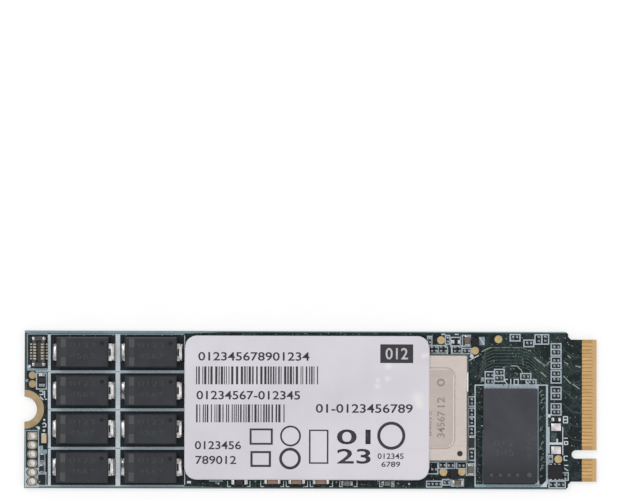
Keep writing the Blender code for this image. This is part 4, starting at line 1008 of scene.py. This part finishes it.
def packages():
    """Finish and marks of the moulded packages, and the regulator's terminals."""
    for name, surface in (
        ("flash_package_1", PACKAGE), ("flash_package_2", PACKAGE), ("memory_package", MEMORY),
        ("clock_driver", BLACK_PACKAGE), ("supervisor", BLACK_PACKAGE), ("power_inductor", BLACK_PACKAGE),
    ):
        dress(name, surface)
        soften(name, 0.03)
    dress("voltage_regulator", BLACK_PACKAGE)
    shape = bmesh.new()
    low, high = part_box("memory_package")
    x, y = spot(*MEMORY_DOT, high.z)
    ring(shape, x, y, 0.26 * MM, 0.32 * MM, high.z - 0.002 * MM, high.z + 0.003 * MM, 24)
    on_face(shape, circle(x, y, 0.26 * MM, 24), high.z, 0.0025)
    for place in MEMORY_SQUARES:
        mx, my = spot(*place, high.z)
        mark = rounded(mx - 0.2 * MM, my - 0.2 * MM, mx + 0.2 * MM, my + 0.2 * MM, 0.04 * MM)
        on_face(shape, mark, high.z, 0.002)
    piece("memory_marks", shape, SOFT_MARK, slot="moulding")
    marks = bmesh.new()
    for *row, turned in MEMORY_DIGITS:
        seen_digits(marks, *row, high.z, high.z + 0.002 * MM, turned)
    ink(piece("memory_digits", marks, SOFT_MARK, slot="moulding"), 0.003)
    shape = bmesh.new()
    low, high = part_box("voltage_regulator")
    x, y = (low.x + high.x) / 2, (low.y + high.y) / 2
    for side in (-1, 1):
        for step in (-1, 0, 1):
            middle = Vector((x + step * 0.6 * MM, y + side * MM, SEAT + 0.05 * MM))
            block(shape, middle, (0.3 * MM, 0.26 * MM, 0.14 * MM), 0.03 * MM, segments=2)
    piece("regulator_terminals", shape, TIN, slot="tinned", smooth=40)
    shape = bmesh.new()
    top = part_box("supervisor")[1].z
    on_face(shape, circle(*spot(*SUPERVISOR_DOT, top), 0.1 * MM, 12), top, 0.004)
    piece("supervisor_dot", shape, BRIGHT_TRACE, slot="moulding")


def glyphs(shape, text, left, bottom, right, top, level, turned=False, index=0):
    """Plain counting digits that fill a box, at one level or on a surface; turned ones read upwards."""
    curve = bpy.data.curves.new("digits", "FONT")
    curve.body = text
    curve.size = 1
    curve.offset = 0.012
    curve.resolution_u = 4
    holder = placed("digits", curve)
    mesh = bpy.data.meshes.new_from_object(holder.evaluated_get(bpy.context.evaluated_depsgraph_get()))
    xs = sorted(vert.co.x for vert in mesh.vertices)
    ys = sorted(vert.co.y for vert in mesh.vertices)
    for vert in mesh.vertices:
        along = (vert.co.x - xs[0]) / (xs[-1] - xs[0])
        up = (vert.co.y - ys[0]) / (ys[-1] - ys[0])
        share_x, share_y = (1 - up, along) if turned else (along, up)
        x, y = left + (right - left) * share_x, bottom + (top - bottom) * share_y
        vert.co = (x, y, level(x, y) if callable(level) else level)
    for face in mesh.polygons:
        face.material_index = index
    shape.from_mesh(mesh)
    bpy.data.objects.remove(holder, do_unlink=True)


def seen_digits(shape, text, x0, y0, x1, y1, height, level, turned=False, index=0):
    """Counting digits that fill a box in the picture, as seen at that height."""
    left, top = spot(x0, y0, height)
    right, bottom = spot(x1, y1, height)
    glyphs(shape, text, left, bottom, right, top, level, turned, index)


def ink(made, thickness):
    """Gives flat print a thickness, so that each mark is a closed plate."""
    sheet = made.modifiers.new("ink", "SOLIDIFY")
    sheet.thickness = thickness * MM
    sheet.offset = 0


def link_contacts():
    """Gilded contacts over the small connector's long walls, and its solder nails."""
    dress("link_connector", NYLON)
    shape = bmesh.new()
    x, y = LINK_X, LINK_Y
    skin = 0.012 * MM
    for side in (-1, 1):
        for index in range(6):
            middle_y = y + (index - 2.5) * LINK_PITCH
            for inner, outer, low, high in (
                (0.39, 0.72, 0.9, 0.96), (0.95, 1.22, 0.02, 0.12), (0.34, 0.4, 0.3, 0.96),
            ):
                size = ((outer - inner) * MM + 2 * skin, 0.2 * MM + 2 * skin, (high - low) * MM + skin)
                middle_x = x + side * (inner + outer) / 2 * MM
                middle_z = SEAT + (low + high) / 2 * MM + skin / 2
                block(shape, Vector((middle_x, middle_y, middle_z)), size, 0.015 * MM)
    piece("link_contacts", shape, LINK_GOLD, slot="nylon")
    shape = bmesh.new()
    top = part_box("link_connector")[1].z
    for side in (-1, 1):
        for end in (-1, 1):
            place = Vector((x + side * 0.74 * MM, y + end * 1.8 * MM, SEAT + 0.26 * MM))
            block(shape, place, (0.36 * MM, 0.33 * MM, 0.5 * MM), 0.03 * MM, segments=2)
            place = Vector((x + side * 0.7 * MM, y + end * 1.8 * MM, top + 0.004 * MM))
            block(shape, place, (0.28 * MM, 0.42 * MM, 0.02 * MM), 0.008 * MM, segments=2)
    piece("link_nails", shape, TIN, slot="tinned", smooth=40)


# Label: a film on the flash packages that climbs to the lid's plateau
FILM_LEFT, FILM_RIGHT = -17.6 * MM, 16.53 * MM
FILM_MIDDLE = 0.35 * MM
FILM_HALF = 10.03 * MM
FILM_LOW, FILM_HIGH = 2.045 * MM, 2.115 * MM
FILM_CORNER = 1.7 * MM
FILM_THICKNESS = 0.085 * MM
FILM_CEILING = 2.24 * MM
# Where the plateau under the film starts, half its width and the length of the climb to it;
# then the place and reach of two creases
PLATEAU_LEFT, PLATEAU_HALF, CLIMB = 8.95 * MM, 5.55 * MM, 0.55 * MM
CREASES = ((9.4 * MM, 1.2 * MM), (14.6 * MM, 1.6 * MM))
# Small blisters near the step under the film: place, reach and height; the film's colour is painted paler
# over them as painted highlights
FILM_BUMPS = [(*spot(px, py, FILM_LOW), reach * MM, rise * MM) for px, py, reach, rise in (
    (388.4, 366.6, 0.3, 0.03), (377.4, 386, 0.25, 0.025), (377.8, 380, 0.2, 0.02), (387.4, 378.8, 0.25, 0.02),
    (417.6, 397.4, 0.5, 0.03), (419.6, 404.4, 0.4, 0.03), (423.4, 356, 0.25, 0.02), (427, 355, 0.25, 0.02),
)]


def film_height(x, y):
    """Height of the film's face: two levels, a soft climb between them, and the creases that it leaves."""
    outside = max(PLATEAU_LEFT - x, abs(y - FILM_MIDDLE) - PLATEAU_HALF)
    climb = min(1, max(0, outside / CLIMB))
    climb = climb * climb * (3 - 2 * climb)
    height = FILM_HIGH + (FILM_LOW - FILM_HIGH) * climb
    ripple = noise.noise(Vector((x * 210, y * 150, 0))) * 0.006 * MM
    near = sum(math.exp(-((x - middle) / reach) ** 2) for middle, reach in CREASES)
    swirl = noise.noise(Vector((x * 640, y * 420, 3))) * 0.02 * MM * near
    bumps = sum(
        rise * math.exp(-((x - bx) ** 2 + (y - by) ** 2) / reach**2) for bx, by, reach, rise in FILM_BUMPS
    )
    return min(height + ripple + swirl + bumps, FILM_CEILING)


def label():
    """The film itself, in place of the flat one."""
    shape = bmesh.new()
    columns, rows = 150, 84
    grid = []
    for i in range(columns + 1):
        x = FILM_LEFT + (FILM_RIGHT - FILM_LEFT) * (i / columns)
        corner = max(FILM_LEFT + FILM_CORNER - x, x - FILM_RIGHT + FILM_CORNER, 0)
        half = FILM_HALF - FILM_CORNER + math.sqrt(max(FILM_CORNER**2 - corner**2, 0))
        line = []
        for j in range(rows + 1):
            y = FILM_MIDDLE + half * (2 * j / rows - 1)
            line.append(shape.verts.new((x, y, film_height(x, y))))
        grid.append(line)
    for first, second in zip(grid, grid[1:]):
        for a, b, c, d in zip(first, second, second[1:], first[1:]):
            shape.faces.new((a, b, c, d))
    made = piece("label_printed", shape, label_film(), slot="label_film")
    made.data.shade_smooth()
    sheet = made.modifiers.new("film", "SOLIDIFY")
    sheet.thickness = FILM_THICKNESS
    sheet.offset = -1
    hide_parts("label")


def laid(shape, outline, lift=0.004):
    """A flat field of ink whose corners follow the film."""
    shape.faces.new([shape.verts.new((x, y, film_height(x, y) + lift * MM)) for x, y in outline])


def stretches(first, last):
    """Splits a line in parts of about a millimetre."""
    count = max(1, round((last - first) / (0.9 * MM)))
    stops = [first + (last - first) * i / count for i in range(count + 1)]
    return zip(stops, stops[1:])


def laid_bar(shape, x0, y0, x1, y1):
    """A bar of ink in picture coordinates, in stretches of about a millimetre that follow the film."""
    left, top = spot(x0, y0, FILM_LOW)
    right, bottom = spot(x1, y1, FILM_LOW)
    for ax, bx in stretches(left, right):
        for ay, by in stretches(bottom, top):
            laid(shape, corners(ax, ay, bx, by))


def laid_ring(shape, px, py, inner, outer):
    """A ring of ink, in narrow bands and short steps so that it follows the film."""
    x, y = spot(px, py, FILM_LOW)
    bands, steps = 3, 40
    for i in range(steps):
        for band in range(bands):
            radii = [inner + (outer - inner) * (band + k) / bands for k in (0, 1)]
            angles = [2 * math.pi * (i + k) / steps for k in (0, 1)]
            a = [(x + r * PX * math.cos(t), y + r * PX * math.sin(t)) for t in angles for r in radii]
            laid(shape, (a[0], a[1], a[3], a[2]), lift=0.006)


def digits(shape, text, x0, y0, x1, y1, index=0, lift=0.005):
    """A row of plain counting digits on the film that fills a box in the picture."""
    def level(x, y):
        return film_height(x, y) + lift * MM

    seen_digits(shape, text, x0, y0, x1, y1, FILM_LOW, level, index=index)


def barcode(shape, x0, y0, x1, y1, seed):
    """Plain upright bars of a few widths that carry no code."""
    dice = random.Random(seed)
    x = x0
    while x < x1 - 3:
        width = dice.choice((0.8, 1, 1.5, 2.2))
        laid_bar(shape, x, y0, min(x + width, x1), y1)
        x += width + dice.choice((1, 1.2, 1.8, 2.6))
    laid_bar(shape, x1 - 1, y0, x1, y1)


# Print on the label, in picture coordinates: digits, bars with their seeds, rings with their radii,
# frames with their widths, and a dark plate with pale digits on it
LABEL_DIGITS = (
    ("012345678901234", 198.3, 351.9, 309.5, 360.9), ("01234567-012345", 196.5, 390.7, 300.1, 399.7),
    ("01-0123456789", 315.8, 403.9, 412.7, 413.1), ("0123456", 194.9, 441, 241, 449.4),
    ("789012", 195.4, 455.8, 236.2, 464.2), ("012345", 377.6, 453.3, 403.6, 459),
    ("6789", 381.4, 461.6, 400.2, 467), ("01", 337, 429.4, 370.6, 444.4), ("23", 337, 448.8, 370.6, 463.8),
)
BARCODES = ((196.1, 366.4, 318, 384.3, 3), (196.1, 404.4, 284.5, 422.3, 5))
LABEL_RINGS = ((290.5, 436, 8.6, 10.4), (290, 458.6, 8, 10.8), (391.3, 435.7, 11, 14))
LABEL_FRAMES = ((249.6, 428.4, 272.8, 444.8, 2), (250.4, 451, 271, 467, 2.2), (309, 429.6, 328.4, 463.8, 1.5))
PLATE = (380.3, 344.3, 413.2, 363.1)
PLATE_DIGITS = ("012", 385.6, 347.9, 408, 359.6)


def label_print():
    """Generic print: counting digits, bars without a code, and plain shapes."""
    shape = bmesh.new()
    for row in LABEL_DIGITS:
        digits(shape, *row)
    for row in BARCODES:
        barcode(shape, *row)
    laid_bar(shape, *PLATE)
    for row in LABEL_RINGS:
        laid_ring(shape, *row)
    for row in LABEL_FRAMES:
        for bar in sides(*row):
            laid_bar(shape, *bar)
    digits(shape, *PLATE_DIGITS, 1, 0.014)
    ink(piece("label_print", shape, PRINT, REVERSE, slot="label_film"), 0.004)


FLOOR_LEVEL = -0.02 * MM
FLOOR_HALF = 4
FLOOR_GLOW = 0.6


def stage():
    """A pale floor that keeps the card's soft shadow and glows to the camera."""
    shape = bmesh.new()
    outline = corners(-FLOOR_HALF, -FLOOR_HALF, FLOOR_HALF, FLOOR_HALF)
    shape.faces.new([shape.verts.new((x, y, FLOOR_LEVEL)) for x, y in outline])
    paint = bpy.data.materials.new("pale_floor")
    formed("floor", shape, paint)
    paint.use_nodes = True
    tree = paint.node_tree
    tree.nodes.clear()
    seen_rays = add(tree, "LightPath").outputs["Is Camera Ray"]
    share = add(tree, "Math", seen_rays, FLOOR_GLOW, operation="MULTIPLY")
    lit = add(tree, "BsdfDiffuse", (0.96, 0.96, 0.96, 1))
    blend = add(tree, "MixShader", share.outputs[0], lit.outputs[0], add(tree, "Emission").outputs[0])
    add(tree, "OutputMaterial", blend.outputs[0])


def light_and_camera():
    """An even white surround that camera and reflections see brightest, two soft lamps and a long lens."""
    scene = bpy.context.scene
    scene.world = bpy.data.worlds.new("studio")
    scene.world.use_nodes = True
    tree = scene.world.node_tree
    back = tree.nodes["Background"]
    back.inputs["Color"].default_value = (1, 1, 1, 1)
    rays = add(tree, "LightPath").outputs
    white = rays["Is Camera Ray"]
    for kind in ("Is Glossy Ray", "Is Transmission Ray"):
        white = add(tree, "Math", white, rays[kind], operation="MAXIMUM").outputs[0]
    strength = add(tree, "MapRange", white, 0, 1, 0.7, 1)
    feed(tree, back.inputs["Strength"], strength.outputs[0])
    for name, place, size, power in (
        ("key", (-0.35, 0.35, 0.75), 0.45, 2.6), ("fill", (0.5, -0.2, 0.7), 0.6, 1.2),
    ):
        data = bpy.data.lights.new(name, "AREA")
        data.size = size
        data.energy = power
        lamp = placed(name, data)
        lamp.location = place
        lamp.rotation_euler = (-Vector(place)).to_track_quat("-Z", "Y").to_euler()
    data = bpy.data.cameras.new("camera")
    data.lens = LENS
    data.sensor_width = SENSOR
    data.clip_start = 0.01
    scene.camera = placed("camera", data)
    scene.camera.location = CAMERA_PLACE
    scene.camera.rotation_euler = CAMERA_TURN
    scene.view_settings.view_transform = "Standard"


dress("circuit_board", MASK)
silkscreen()
traces()
vias()
bare_metal()
contact_fingers()
tip_strip()
tiny_chips()
larger_chips()
capacitors()
controller()
packages()
link_contacts()
label()
label_print()
stage()
light_and_camera()

bpy.context.view_layer.update()
